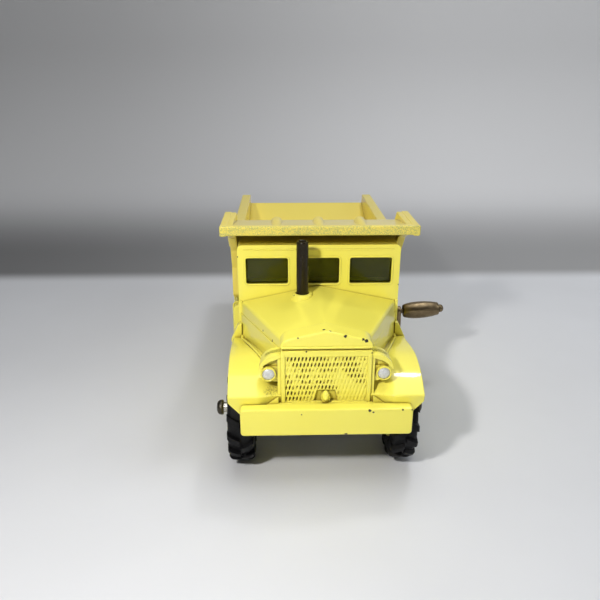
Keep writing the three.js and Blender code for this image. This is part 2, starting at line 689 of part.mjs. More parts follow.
// ---- crank shaft with its worm, arm, grip and rivet ----
class WormHelix extends THREE.Curve {
  constructor(radius, pitch, turns) {
    super();
    Object.assign(this, { radius, pitch, turns });
  }

  // Right-handed, with a groove at the top of the middle turn.
  getPoint(t, target = new THREE.Vector3()) {
    const along = (t - 0.5) * this.turns;
    const angle = 2 * Math.PI * (along + 0.5);
    const y = -this.radius * Math.sin(angle);
    return target.set(along * this.pitch, y, this.radius * Math.cos(angle));
  }
}

function wormThread() {
  const turns = 4.2;
  const section = new THREE.Shape();
  section.absarc(0, 0, 0.6, 0, 2 * Math.PI, false);
  const extrudePath = new WormHelix(WORM_R, WORM_PITCH, turns);
  const options = { steps: 42, extrudePath, curveSegments: 3 };
  return solid(new THREE.ExtrudeGeometry(section, options).translate(ARM.x, 0, 0));
}

function crankShaft() {
  const stub = 0.85;
  return join(
    bar('x', [0, 0], [SHAFT_FROM, CRANK.x - GAP], SHAFT_R, 16),
    bar('x', [0, 0], [SHAFT_FROM, CRANK.x + CRANK.thick + GAP], stub, 12),
    bar('x', [0, 0], [ARM.x - 6, ARM.x + 6], 1.9, 16),
    wormThread(),
  );
}
node('crank_shaft', crankShaft(), brightSteel).position.set(0, GEAR_Y, SHAFT_Z);

function crankArm() {
  const x = [CRANK.x, CRANK.x + CRANK.thick];
  const plate = join(
    block(x, [-1.8, 1.8], [0, CRANK.radius]),
    bar('x', [0, 0], x, 2.3, 20),
    bar('x', [0, CRANK.radius], x, 1.8, 20),
  );
  return cut(plate, bar('x', [0, 0], [20, 40], 1.15, 16));
}
node('crank_arm', crankArm(), bronzeSteel).position.set(0, GEAR_Y, SHAFT_Z);

const handle = new THREE.Group();
handle.position.set(CRANK.x + CRANK.thick + GAP, GEAR_Y, SHAFT_Z + CRANK.radius);
handle.rotation.y = -deg(CRANK.cant);
truck.add(handle);

function grip() {
  const end = GRIP.start + GRIP.length;
  const bulge = [[2.1, 0], [2.6, 0.12], [2.92, 0.35], [2.9, 0.55], [2.55, 0.8], [2.1, 1]];
  const outer = bulge.map(([r, t]) => [r, GRIP.start + t * GRIP.length]);
  return turned('x', [[GRIP.bore, GRIP.start], ...outer, [GRIP.bore, end], [GRIP.bore, GRIP.start]], 24);
}
node('crank_grip', grip(), bronzeSteel, handle);

const rivetFace = GRIP.start + GRIP.length + GAP;
const gripPin = [
  [0, 0], [0.8, 0], [0.8, rivetFace], [1.4, rivetFace],
  [1.4, rivetFace + 0.8], [0.9, rivetFace + 1.4], [0, rivetFace + 1.5],
];
node('grip_rivet', turned('x', gripPin, 16), brightSteel, handle);

export default truck;
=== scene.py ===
"""Looks of a die-cast toy dump truck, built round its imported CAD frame.

Shapes are drawn in millimetres with x = 0 on the truck's centre line, y = 0 on the
bumper's face and z = 0 on the ground, and to_frame() puts them in the shared frame.
Left and right are the truck's own: x is positive on its left, where the crank is.
"""
import math

import bmesh
import bpy
from mathutils import Matrix, Vector, noise


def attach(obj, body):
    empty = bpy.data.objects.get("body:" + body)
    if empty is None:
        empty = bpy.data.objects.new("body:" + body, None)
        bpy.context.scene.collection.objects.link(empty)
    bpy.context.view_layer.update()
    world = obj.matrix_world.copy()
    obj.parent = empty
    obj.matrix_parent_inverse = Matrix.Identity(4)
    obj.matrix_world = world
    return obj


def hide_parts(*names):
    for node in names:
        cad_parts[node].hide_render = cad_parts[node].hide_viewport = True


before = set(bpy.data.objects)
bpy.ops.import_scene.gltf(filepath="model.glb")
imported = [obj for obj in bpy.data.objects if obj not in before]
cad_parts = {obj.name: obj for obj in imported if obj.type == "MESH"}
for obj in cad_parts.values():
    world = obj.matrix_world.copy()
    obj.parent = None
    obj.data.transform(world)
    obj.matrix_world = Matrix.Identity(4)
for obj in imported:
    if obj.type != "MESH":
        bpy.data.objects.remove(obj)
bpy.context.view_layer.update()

MM = 0.001
ORIGIN = Vector((7.65, 71.0, 0.0))

TYRE_R = 14.6
FRONT_AXLE_Y = 18.4
REAR_AXLE_Y = 92.0
CAB_HALF = 24.4
CAB_Y = (41.2, 54.2)
CAB_ROOF_Z = 55.6
WALL = 1.6
WINDOW_Z = (43.2, 51.9)
SIDE_PANE_X = (9.0, 22.2)
CENTRE_PANE_X = 6.4
SIDE_WINDOW_Y = (44.0, 51.6)
REAR_WINDOW_X = 8.0
GRILLE_Y = 4.6
GRILLE_X = 10.5
GRILLE_Z = (24.3, 37.3)
LAMP_X = 14.7
LAMP_Z = 32.35
STACK_X = -5.2
STACK_Y = 34.0
BUMPER_Z = (17.1, 24.8)
FRAME_Z = (12.6, 25.0)
FRAME_REAR_Y = (75.0, 76.4)
RAIL_X = (5.2, 8.4)
WORM_X = -12.6
WORM_Z = 26.0
BASE_RIVET_Y = (13.4, 49.0)
WHEEL_X = 22.1
INNER_WHEEL_X = 14.1
SIDE_PLAY = -0.4
AXLE_HOLE_R = 1.8
CRANK_Y, CRANK_Z = 64.0, 15.961
CRANK_THROW = 8.7
CRANK_ARM_X = (28.9, 30.3)
GRIP_CANT = -4.0
BODY_HALF = 28.9
CANOPY_Z = (59.5, 62.35)
SIDE_TOP_Z = 50.3
TILT_Y = 112.0
TILT_Z = 27.0


def to_frame(point):
    return (Vector(point) - ORIGIN) * MM


# ---- shapes, as bmeshes in truck millimetres ----
def tidy(bm):
    bmesh.ops.recalc_face_normals(bm, faces=bm.faces[:])
    return bm


def prism(axis, outline, span):
    """An outline pushed along an axis. Its own two axes are (y, z), (x, z) or (x, y)."""
    places = {
        "x": lambda a, b, s: (s, a, b),
        "y": lambda a, b, s: (a, s, b),
        "z": lambda a, b, s: (a, b, s),
    }
    bm = bmesh.new()
    ends = [[bm.verts.new(places[axis](a, b, s)) for a, b in outline] for s in span]
    for end in ends:
        bm.faces.new(end)
    for i in range(len(outline)):
        j = (i + 1) % len(outline)
        bm.faces.new((ends[0][i], ends[0][j], ends[1][j], ends[1][i]))
    return tidy(bm)


def block(x, y, z):
    return prism("z", [(x[0], y[0]), (x[1], y[0]), (x[1], y[1]), (x[0], y[1])], z)


def soften(bm, width, segments=3, angle=22):
    edges = [
        e for e in bm.edges
        if len(e.link_faces) == 2 and e.calc_face_angle(0) > math.radians(angle)
    ]
    bmesh.ops.bevel(
        bm, geom=edges, offset=width, offset_type="OFFSET", segments=segments,
        profile=0.5, affect="EDGES", clamp_overlap=True,
    )
    return bm


def soft_block(x, y, z, width=0.3):
    return soften(block(x, y, z), width)


def soft_prism(axis, outline, span, width=0.3, angle=22):
    return soften(prism(axis, outline, span), width, 3, angle)


def rounded(x, z, r, steps=6):
    """A rounded rectangle's outline."""
    centres = [(x[1] - r, z[0] + r, -90), (x[1] - r, z[1] - r, 0),
               (x[0] + r, z[1] - r, 90), (x[0] + r, z[0] + r, 180)]
    points = []
    for cx, cz, first in centres:
        for i in range(steps + 1):
            a = math.radians(first + 90 * i / steps)
            points.append((cx + r * math.cos(a), cz + r * math.sin(a)))
    return points


def turned(axis, profile, centre=(0, 0), sides=64):
    """A turned piece. Profile points are (radius, distance along the axis)."""
    bm = bmesh.new()
    rings = []
    for r, s in profile:
        ring = []
        for i in range(sides if r > 1e-6 else 1):
            a = 2 * math.pi * i / sides
            u, v = centre[0] + r * math.cos(a), centre[1] + r * math.sin(a)
            ring.append(bm.verts.new({"x": (s, u, v), "y": (u, s, v), "z": (u, v, s)}[axis]))
        rings.append(ring)
    for low, high in zip(rings, rings[1:]):
        for i in range(sides):
            j = (i + 1) % sides
            corners = [low[i % len(low)], low[j % len(low)], high[j % len(high)], high[i % len(high)]]
            unique = list(dict.fromkeys(corners))
            if len(unique) > 2:
                bm.faces.new(unique)
    for ring in (rings[0], rings[-1]):
        if len(ring) > 2 and profile[0] != profile[-1]:
            bm.faces.new(ring)
    bmesh.ops.remove_doubles(bm, verts=bm.verts[:], dist=1e-5)
    return tidy(bm)


def tube(points, radius, sides=10, closed=True):
    """A round section carried along a line of points."""
    bm = bmesh.new()
    rings = []
    count = len(points)
    for i, point in enumerate(points):
        here = Vector(point)
        if closed:
            ahead, behind = Vector(points[(i + 1) % count]), Vector(points[i - 1])
        else:
            ahead, behind = Vector(points[min(i + 1, count - 1)]), Vector(points[max(i - 1, 0)])
        along = (ahead - behind).normalized()
        side = along.cross(Vector((0.13, 0.97, 0.21))).normalized()
        up = along.cross(side)
        rings.append([
            bm.verts.new(here + radius * (math.cos(a) * side + math.sin(a) * up))
            for a in (2 * math.pi * k / sides for k in range(sides))
        ])
    last = count if closed else count - 1
    for i in range(last):
        low, high = rings[i], rings[(i + 1) % count]
        for k in range(sides):
            m = (k + 1) % sides
            bm.faces.new((low[k], low[m], high[m], high[k]))
    if not closed:
        bm.faces.new(rings[0])
        bm.faces.new(rings[-1])
    return tidy(bm)


def ellipsoid(centre, radii, steps=24):
    bm = bmesh.new()
    bmesh.ops.create_uvsphere(bm, u_segments=steps, v_segments=steps // 2, radius=1)
    bm.transform(Matrix.Translation(centre) @ Matrix.Diagonal((*radii, 1)))
    return bm


def faces_from(points, faces):
    bm = bmesh.new()
    verts = [bm.verts.new(p) for p in points]
    for f in faces:
        bm.faces.new([verts[i] for i in f])
    return tidy(bm)


def temporary(bm):
    mesh = bpy.data.meshes.new("temporary")
    bm.to_mesh(mesh)
    obj = bpy.data.objects.new("temporary", mesh)
    bpy.context.scene.collection.objects.link(obj)
    return obj


def boolean(base, tools, operation="DIFFERENCE"):
    made = [temporary(base)] + [temporary(t) for t in tools]
    for other in made[1:]:
        step = made[0].modifiers.new("step", "BOOLEAN")
        step.operation, step.solver, step.object = operation, "EXACT", other
    depsgraph = bpy.context.evaluated_depsgraph_get()
    mesh = bpy.data.meshes.new_from_object(made[0].evaluated_get(depsgraph))
    out = bmesh.new()
    out.from_mesh(mesh)
    for obj in made:
        bpy.data.objects.remove(obj)
    return out


def mirrored(bm):
    """The same shape on the other side of the centre line."""
    out = bm.copy()
    out.transform(Matrix.Diagonal((-1, 1, 1, 1)))
    bmesh.ops.reverse_faces(out, faces=out.faces[:])
    return out


def both(bm):
    return [bm, mirrored(bm)]


def moved(bm, matrix):
    out = bm.copy()
    out.transform(matrix)
    return out


def piece(name, parts, body, replaces=(), sharp=38):
    """Joins (bmesh, material) parts into one object that rides on a body."""
    mesh = bpy.data.meshes.new(name)
    joined = bmesh.new()
    slots = []
    for bm, material in parts:
        if material not in slots:
            slots.append(material)
        part = bpy.data.meshes.new("part")
        bm.to_mesh(part)
        before = len(joined.faces)
        joined.from_mesh(part)
        joined.faces.ensure_lookup_table()
        for face in joined.faces[before:]:
            face.material_index = slots.index(material)
            face.smooth = True
        bpy.data.meshes.remove(part)
    joined.transform(Matrix.Scale(MM, 4) @ Matrix.Translation(-ORIGIN))
    joined.to_mesh(mesh)
    for material in slots:
        mesh.materials.append(material)
    mesh.set_sharp_from_angle(angle=math.radians(sharp))
    obj = bpy.data.objects.new(name, mesh)
    bpy.context.scene.collection.objects.link(obj)
    weighted = obj.modifiers.new("even_normals", "WEIGHTED_NORMAL")
    weighted.keep_sharp = True
    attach(obj, body)
    if replaces:
        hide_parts(*replaces)
    return obj


# ---- materials ----
class Nodes:
    """A material's node tree, with short ways to add and join nodes."""

    def __init__(self, name):
        self.material = bpy.data.materials.new(name)
        self.material.use_nodes = True
        self.tree = self.material.node_tree
        self.surface = self.tree.nodes["Principled BSDF"]
        texture = self.tree.nodes.new("ShaderNodeTexCoord")
        self.place = texture.outputs["Object"]

    def set(self, **values):
        for key, value in values.items():
            socket = self.surface.inputs[key.replace("_", " ")]
            if isinstance(value, bpy.types.NodeSocket):
                self.tree.links.new(value, socket)
            else:
                socket.default_value = value
        return self

    def noise(self, scale, detail=3.0, roughness=0.55, stretch=None):
        node = self.tree.nodes.new("ShaderNodeTexNoise")
        node.inputs["Scale"].default_value = scale
        node.inputs["Detail"].default_value = detail
        node.inputs["Roughness"].default_value = roughness
        source = self.place
        if stretch:
            mapping = self.tree.nodes.new("ShaderNodeMapping")
            mapping.inputs["Scale"].default_value = stretch
            self.tree.links.new(source, mapping.inputs["Vector"])
            source = mapping.outputs["Vector"]
        self.tree.links.new(source, node.inputs["Vector"])
        return node.outputs["Fac"]

    def ramp(self, value, low, high, out_low=0.0, out_high=1.0):
        node = self.tree.nodes.new("ShaderNodeMapRange")
        node.interpolation_type = "SMOOTHSTEP"
        for name, number in (("From Min", low), ("From Max", high),
                             ("To Min", out_low), ("To Max", out_high)):
            node.inputs[name].default_value = number
        self.tree.links.new(value, node.inputs["Value"])
        return node.outputs["Result"]

    def maths(self, operation, a, b=None):
        node = self.tree.nodes.new("ShaderNodeMath")
        node.operation = operation
        for i, value in enumerate((a, b)):
            if value is None:
                continue
            if isinstance(value, bpy.types.NodeSocket):
                self.tree.links.new(value, node.inputs[i])
            else:
                node.inputs[i].default_value = value
        return node.outputs[0]

    def mix(self, factor, a, b):
        node = self.tree.nodes.new("ShaderNodeMix")
        node.data_type = "RGBA"
        if isinstance(factor, bpy.types.NodeSocket):
            self.tree.links.new(factor, node.inputs["Factor"])
        else:
            node.inputs["Factor"].default_value = factor
        for name, value in (("A", a), ("B", b)):
            socket = [s for s in node.inputs if s.name == name and s.type == "RGBA"][0]
            if isinstance(value, bpy.types.NodeSocket):
                self.tree.links.new(value, socket)
            else:
                socket.default_value = (*value, 1)
        return [s for s in node.outputs if s.type == "RGBA"][0]

    def bump(self, *heights):
        """Bumps as (height socket, distance in metres, strength)."""
        normal = None
        for height, distance, strength in heights:
            node = self.tree.nodes.new("ShaderNodeBump")
            node.inputs["Distance"].default_value = distance
            node.inputs["Strength"].default_value = strength
            self.tree.links.new(height, node.inputs["Height"])
            if normal is not None:
                self.tree.links.new(normal, node.inputs["Normal"])
            normal = node.outputs["Normal"]
        self.tree.links.new(normal, self.surface.inputs["Normal"])
        return self

    def occlusion(self, distance):
        node = self.tree.nodes.new("ShaderNodeAmbientOcclusion")
        node.samples = 8
        node.inputs["Distance"].default_value = distance
        return node.outputs["AO"]

    def attribute(self, name):
        node = self.tree.nodes.new("ShaderNodeAttribute")
        node.attribute_name = name
        return node.outputs["Fac"]

    def axis(self, index):
        node = self.tree.nodes.new("ShaderNodeSeparateXYZ")
        self.tree.links.new(self.place, node.inputs[0])
        return node.outputs[index]


# Bare spots and dirt are ((x, y, z), radius), in truck millimetres.
CAP_FRONT_Y = GRILLE_Y + 0.05
BUMPER_SPOTS = [(-6.4, 23.4, 0.2), (10.8, 24.3, 0.35), (11.7, 23.8, 0.24), (19.2, 24.4, 0.24),
                (21.6, 24.4, 0.25), (5.0, 17.4, 0.35), (-21.8, 17.6, 0.24)]
CAP_SPOTS = [(-7.3, 42.5, 0.28), (4.55, 42.8, 0.39), (9.05, 41.9, 0.35), (9.85, 41.55, 0.43),
             (-5.1, 38.65, 0.22), (11.45, 38.25, 0.24)]
CAP_TOP_SPOTS = [((-0.75, 6.1, 44.0), 0.35), ((0.8, 5.3, 43.95), 0.28)]
BONNET_SPOTS = [((-16.45, 21.9, 36.8), 0.29), ((-13.7, 14.55, 37.15), 0.32), ((-7.65, 32.55, 42.95), 0.21)]
CAB_SPOTS = [((24.35, CAB_Y[0], 42.95), 0.24), ((-24.3, CAB_Y[0], 52.05), 0.2)]
CHASSIS_SPOTS = [((22.0, 60.0, 24.9), 0.35), ((24.3, 72.0, 26.6), 0.42), ((-24.4, 60.0, 26.9), 0.42)]
CHIPS = [((x, 0.0, z), r) for x, z, r in BUMPER_SPOTS] + [((x, CAP_FRONT_Y, z), r) for x, z, r in CAP_SPOTS]
CHIPS += CAP_TOP_SPOTS + BONNET_SPOTS + CAB_SPOTS + CHASSIS_SPOTS
# dirt caught in the corner under the right-hand lamp
SMEARS = [((-14.4, 5.9, 26.6), 1.5), ((-15.6, 5.0, 26.6), 1.1), ((-13.2, 6.6, 27.4), 1.0)]


def chip_mask(n, chips):
    """1 inside any of the bare spots, given as ((x, y, z) in truck mm, radius in mm)."""
    warp = n.tree.nodes.new("ShaderNodeTexNoise")
    warp.inputs["Scale"].default_value = 2600
    n.tree.links.new(n.place, warp.inputs["Vector"])
    nearest = None
    for centre, radius in chips:
        node = n.tree.nodes.new("ShaderNodeVectorMath")
        node.operation = "DISTANCE"
        n.tree.links.new(n.place, node.inputs[0])
        node.inputs[1].default_value = to_frame(centre)
        share = n.maths("DIVIDE", node.outputs["Value"], radius * MM)
        nearest = share if nearest is None else n.maths("MINIMUM", nearest, share)
    if nearest is None:
        return n.maths("MULTIPLY", warp.outputs["Fac"], 0.0)
    ragged = n.maths("MULTIPLY", n.maths("SUBTRACT", warp.outputs["Fac"], 0.5), 1.6)
    return n.ramp(n.maths("ADD", nearest, ragged), 0.95, 1.1, 1.0, 0.0)


SHADE = (0.22, 0.13, 0.008)
GRILLE_HOLE_SHADE = (0.12, 0.095, 0.018)
SPECK = (0.30, 0.24, 0.05)
DIRT = (0.20, 0.165, 0.05)
RUBBED = (0.30, 0.35, 0.15)
BARE = (0.028, 0.024, 0.018)
CANOPY_EDGE_Y = (37.35, 37.7)


def enamel(name, colour, crease_shade_colour, rub_lip=False, chips=()):
    """Thick lemon-yellow stoving enamel: painted shade in the creases and deep spaces, soft orange peel,
    bare spots.
    """
    n = Nodes(name)
    patches = n.ramp(n.noise(60, 4, 0.6), 0.3, 0.7)
    base = n.mix(patches, colour, tuple(c * s for c, s in zip(colour, (0.985, 0.98, 0.93))))
    # painted shade: close-set creases are darkened
    crease_shade_mask = n.ramp(n.occlusion(0.0009), 0.2, 0.8, 1.0, 0.0)
    base = n.mix(n.maths("MULTIPLY", crease_shade_mask, 0.8), base, crease_shade_colour)
    # painted shade in deep spaces, such as under the canopy
    gloom = n.ramp(n.occlusion(0.007), 0.12, 0.6, 0.62, 0.0)
    base = n.mix(gloom, base, SHADE)
    # painted shade in the grille's slits and along the notch's rim
    base = n.mix(n.ramp(n.attribute("hollow"), 0.3, 0.95, 0, 0.85), base, GRILLE_HOLE_SHADE)
    specks = n.ramp(n.noise(1900, 2, 0.5), 0.735, 0.765)
    base = n.mix(n.maths("MULTIPLY", specks, 0.18), base, SPECK)
    bare = chip_mask(n, chips)
    if chips:
        dirt = n.maths("MULTIPLY", chip_mask(n, SMEARS), n.ramp(n.noise(2400, 4, 0.7), 0.42, 0.62))
        base = n.mix(n.maths("MULTIPLY", dirt, 0.7), base, DIRT)
    if rub_lip:
        low, high = (to_frame((0, y, 0)).y for y in CANOPY_EDGE_Y)
        front = n.ramp(n.axis(1), low, high, 1, 0)
        speckle = n.ramp(n.noise(3600, 5, 0.8), 0.43, 0.58)
        cloud = n.ramp(n.noise(190, 3, 0.6, (0.5, 1, 1)), 0.18, 0.5)
        rub = n.maths("MULTIPLY", n.maths("MULTIPLY", front, speckle), cloud)
        base = n.mix(n.maths("MULTIPLY", rub, 0.85), base, RUBBED)
    base = n.mix(bare, base, BARE)
    n.set(
        Base_Color=base,
        Roughness=n.ramp(n.noise(330, 3), 0.3, 0.75, 0.29, 0.35),
        Specular_IOR_Level=0.22,
        Coat_Weight=0.55,
        Coat_Roughness=0.045,
    )
    n.bump(
        (n.noise(210, 2, 0.5), 0.00012, 0.035),
        (n.noise(1500, 2, 0.5), 0.00003, 0.05),
        (n.maths("SUBTRACT", 1.0, bare), 0.00008, 0.6),
    )
    return n.material


def metal(name, colour, stain, roughness, lines=None):
    n = Nodes(name)
    patches = n.ramp(n.noise(420, 5, 0.65), 0.35, 0.68)
    base = n.mix(patches, colour, stain)
    # painted shade: creases are darkened towards a dark stain colour
    crease_shade_mask = n.ramp(n.occlusion(0.0008), 0.3, 0.9, 1.0, 0.0)
    base = n.mix(n.maths("MULTIPLY", crease_shade_mask, 0.6), base, tuple(c * 0.3 for c in stain))
    n.set(
        Base_Color=base,
        Metallic=1.0,
        Roughness=n.ramp(n.noise(700, 4, 0.6, lines), 0.3, 0.7, roughness * 0.8, roughness * 1.35),
    )
    n.bump((n.noise(900, 3, 0.6, lines), 0.00003, 0.35), (n.noise(160, 2), 0.0001, 0.15))
    return n.material


def rubber(name):
    n = Nodes(name)
    dust = n.ramp(n.noise(240, 5, 0.7), 0.48, 0.78)
    base = n.mix(n.maths("MULTIPLY", dust, 0.5), (0.0025, 0.0025, 0.003), (0.012, 0.0115, 0.01))
    n.set(Base_Color=base, Roughness=n.ramp(n.noise(500, 3), 0.3, 0.7, 0.45, 0.7),
          Specular_IOR_Level=0.22)
    n.bump((n.noise(1300, 4, 0.6), 0.00005, 0.35), (n.noise(230, 2), 0.0001, 0.25))
    return n.material


def stack_gloss(name):
    n = Nodes(name)
    base = n.mix(n.ramp(n.noise(120, 3), 0.35, 0.7), (0.012, 0.008, 0.002), (0.02, 0.013, 0.005))
    n.set(Base_Color=base, Roughness=n.ramp(n.noise(600, 4, 0.6, (1, 1, 0.12)), 0.3, 0.7, 0.2, 0.36),
          Specular_IOR_Level=0.3)
    n.bump((n.noise(900, 2, 0.5, (1, 1, 0.15)), 0.00003, 0.25))
    return n.material


def tinted(name):
    n = Nodes(name)
    base = n.mix(n.ramp(n.noise(90, 3), 0.35, 0.7), (0.36, 0.385, 0.014), (0.26, 0.29, 0.01))
    n.set(Base_Color=base, Roughness=n.ramp(n.noise(500, 3), 0.35, 0.7, 0.03, 0.12),
          Transmission_Weight=0.92, IOR=1.33)
    n.bump((n.noise(140, 2), 0.0001, 0.12))
    return n.material


def silver_paint(name):
    n = Nodes(name)
    flakes = n.ramp(n.noise(2600, 2), 0.35, 0.7)
    base = n.mix(flakes, (0.60, 0.61, 0.60), (0.74, 0.76, 0.77))
    n.set(Base_Color=base, Metallic=0.35, Roughness=0.42)
    n.bump((n.noise(900, 3), 0.00006, 0.4))
    return n.material


YELLOW = (0.905, 0.825, 0.128)
CREASE_SHADE_YELLOW = (0.36, 0.26, 0.02)
BODY_YELLOW = (0.885, 0.725, 0.12)
cab_enamel = enamel("cab_enamel", YELLOW, CREASE_SHADE_YELLOW, chips=CHIPS)
body_enamel = enamel("body_enamel", BODY_YELLOW, CREASE_SHADE_YELLOW, rub_lip=True)
hub_enamel = enamel("hub_enamel", YELLOW, CREASE_SHADE_YELLOW)
black_rubber = rubber("black_rubber")
stack_brown = stack_gloss("stack_brown")
olive_window = tinted("olive_window")
lamp_silver = silver_paint("lamp_silver")
bright_steel = metal("bright_steel_finish", (0.56, 0.54, 0.49), (0.40, 0.37, 0.31), 0.3)
dark_steel = metal("dark_steel_finish", (0.12, 0.11, 0.085), (0.07, 0.06, 0.045), 0.4)
bronzed = metal("bronzed_finish", (0.25, 0.19, 0.11), (0.19, 0.14, 0.08), 0.36)
zinc = metal("zinc_finish", (0.55, 0.55, 0.53), (0.42, 0.42, 0.40), 0.42)


# ---- cab ----
def cab_parts():
    top = rounded((-CAB_HALF, CAB_HALF), (30, CAB_ROOF_Z), 1.5, 5)
    outline = [(x, 24.0 if z < 40 else z) for x, z in top]
    outline = list(dict.fromkeys(outline))
    shell = soften(prism("y", outline, CAB_Y), 0.8, 4, 60)
    hollow = block((WALL - CAB_HALF, CAB_HALF - WALL), (CAB_Y[0] + WALL, CAB_Y[1] - WALL),
                   (10, CAB_ROOF_Z - WALL))
    front = (CAB_Y[0] - 1, CAB_Y[0] + WALL + 1)
    rear = (CAB_Y[1] - WALL - 1, CAB_Y[1] + 1)
    centre = rounded((-CENTRE_PANE_X, CENTRE_PANE_X), WINDOW_Z, 0.9)
    pane = rounded(SIDE_PANE_X, WINDOW_Z, 0.9)
    mirror = [(-x, z) for x, z in reversed(pane)]
    back = rounded((-REAR_WINDOW_X, REAR_WINDOW_X), WINDOW_Z, 0.9)
    side = rounded(SIDE_WINDOW_Y, WINDOW_Z, 0.9)
    cuts = [hollow, prism("y", centre, front), prism("y", pane, front), prism("y", mirror, front),
            prism("y", back, rear), prism("x", side, (-CAB_HALF - 1, CAB_HALF + 1))]
    parts = [boolean(shell, cuts)]
    rim = 0.34
    for outline in (centre, pane, mirror):
        parts.append(tube([(x, CAB_Y[0] + 0.05, z) for x, z in outline], rim))
    parts.append(tube([(x, CAB_Y[1] - 0.05, z) for x, z in back], rim))
    for x in (-CAB_HALF + 0.05, CAB_HALF - 0.05):
        parts.append(tube([(x, y, z) for y, z in side], rim))
    drip = [(x, CAB_Y[0] - 0.05, 54.2) for x in (-22.5, 22.5)]
    parts.append(tube(drip, 0.22, 8, False))
    return parts


# ---- bonnet ----
def bonnet_parts():
    rear_y, front_y = CAB_Y[0] + 0.5, 8.4
    points = [
        (-24.3, rear_y, 24.5), (-23.8, rear_y, 37.8), (0, rear_y, 42.9), (23.8, rear_y, 37.8),
        (24.3, rear_y, 24.5),
        (-13.4, front_y, 28), (-11.2, front_y, 40.2), (0, front_y, 43.4), (11.2, front_y, 40.2),
        (13.4, front_y, 28),
    ]
    faces = [(0, 1, 6, 5), (1, 2, 7, 6), (2, 3, 8, 7), (3, 4, 9, 8), (4, 0, 5, 9),
             (0, 4, 3, 2, 1), (5, 6, 7, 8, 9)]
    hood = faces_from(points, faces)
    edges = [e for e in hood.edges if e.calc_face_angle(0) > math.radians(5)]
    bmesh.ops.bevel(hood, geom=edges, offset=0.75, offset_type="OFFSET", segments=4,
                    profile=0.5, affect="EDGES", clamp_overlap=True)
    boss = turned("z", [(0, 40.2), (3.6, 40.2), (3.35, 41.4), (2.95, 41.9), (2.9, 42.9), (2.7, 43.2),
                        (2.05, 43.3), (1.85, 43.1), (1.85, 41), (0, 41)], (STACK_X, STACK_Y))
    # the bonnet's side sheets stand a little proud below a split line
    sheet = []
    proud = 0.22
    for t in (0.0, 1.0):
        y = front_y + 0.8 + t * (rear_y - front_y - 1.4)
        s = (y - front_y) / (rear_y - front_y)
        top_x, top_z = 11.2 + s * 12.6, 40.2 - s * 2.4
        low_x, low_z = 13.4 + s * 10.9, 28 - s * 3.5
        cut = 0.22 + 0.06 * s
        split_x, split_z = top_x + cut * (low_x - top_x), top_z + cut * (low_z - top_z)
        sheet.append(((split_x, y, split_z), (low_x, y, low_z)))
    points = []
    for out in (-0.6, proud):
        for (a, b) in sheet:
            points += [(a[0] + out, a[1], a[2]), (b[0] + out, b[1], b[2])]
    side = faces_from(points, [(0, 1, 3, 2), (4, 6, 7, 5), (0, 2, 6, 4), (1, 5, 7, 3),
                               (0, 4, 5, 1), (2, 3, 7, 6)])
    soften(side, 0.1, 2)
    parts = [hood, boss] + both(side)
    # small pins at the cab's lower corners, and sill strips below the side sheets
    pin = turned("y", [(0, 36.9), (0.45, 36.95), (0.6, 37.2), (0.6, 41.5)], (23.3, 27.3), 20)
    parts += both(pin)
    sill = tube([(14.2, 9.4, 30.7), (17.2, 17, 31.5), (20.2, 26, 30.2), (23.2, 36, 27.7)], 0.34, 8, False)
    parts += both(sill)
    post = soft_block((23.4, 24.45), (40.75, 41.6), (26.5, 38.2), 0.2)
    parts += both(post)
    return parts


# ---- front wings ----
CROWN = [(2.3, 27.1), (4.6, 28.4), (8.2, 29.95), (12, 30.85), (18.3, 31.1), (26, 29.8), (32, 28.4),
         (38, 27.1), (41.7, 26.4)]


def spline(points, steps=5):
    """A smooth line through the points."""
    out = []
    for i in range(len(points) - 1):
        p = [Vector(points[max(0, min(len(points) - 1, i + k))]) for k in (-1, 0, 1, 2)]
        for s in range(steps):
            t = s / steps
            out.append(tuple(0.5 * (
                2 * p[1] + (p[2] - p[0]) * t
                + (2 * p[0] - 5 * p[1] + 4 * p[2] - p[3]) * t * t
                + (3 * p[1] - p[0] - 3 * p[2] + p[3]) * t * t * t)))
    out.append(tuple(points[-1]))
    return out


def inner_fade(wing):
    """Near the radiator the wing's front sinks back and down behind the lamp."""
    for x in (12.0, 13.0, 14.0, 15.0, 16.0, 17.0, 18.0):
        bmesh.ops.bisect_plane(wing, geom=wing.verts[:] + wing.edges[:] + wing.faces[:],
                               plane_co=(x, 0, 0), plane_no=(1, 0, 0))
    for v in wing.verts:
        near = max(0.0, min(1.0, (18 - v.co.x) / 5.5))
        near = near * near * (3 - 2 * near)
        front = max(0.0, min(1.0, (13 - v.co.y) / 9))
        v.co.y += 2.5 * near * front
        v.co.z -= 1.1 * near * front * max(0.0, min(1.0, (v.co.z - 22) / 6))


def wing_parts():
    outline = [(3.5, 21), *spline(CROWN), (41.7, 19), (34.5, 19), (28, 14), (6, 14), (3.5, 17.2)]
    full = prism("x", outline, (11, 27))
    for v in full.verts:
        if v.co.x > 20:
            v.co.x = 25.1 + 1.4 * max(0, v.co.y - 2) / 40
    soften(full, 0.32, 3, 34)
    inner_fade(full)
    well = turned("x", [(0, 17.2), (15.05, 17.2), (15.05, 30), (0, 30)], (FRONT_AXLE_Y, TYRE_R))
    corner = prism("y", [(25.3, 25.6), (21.9, 21.2), (21.9, 10), (30, 10), (30, 25.6)], (1, 9))
    bay = block((10, 15.9), (8.6, 50), (5, 27))
    under = block((10, 15.9), (2, 9), (5, 20.5))
    wing = boolean(full, [well, corner, bay, under])
    # the rear top corner, where the wing runs up into the cab side
    corner_web = [(23.5, 31.4), (24.7, 31.1), (25.5, 29.4), (27.0, 26.2), (26.8, 25), (23.5, 25)]
    return both(wing) + both(soft_prism("y", corner_web, (38.7, 41.1), 0.25))


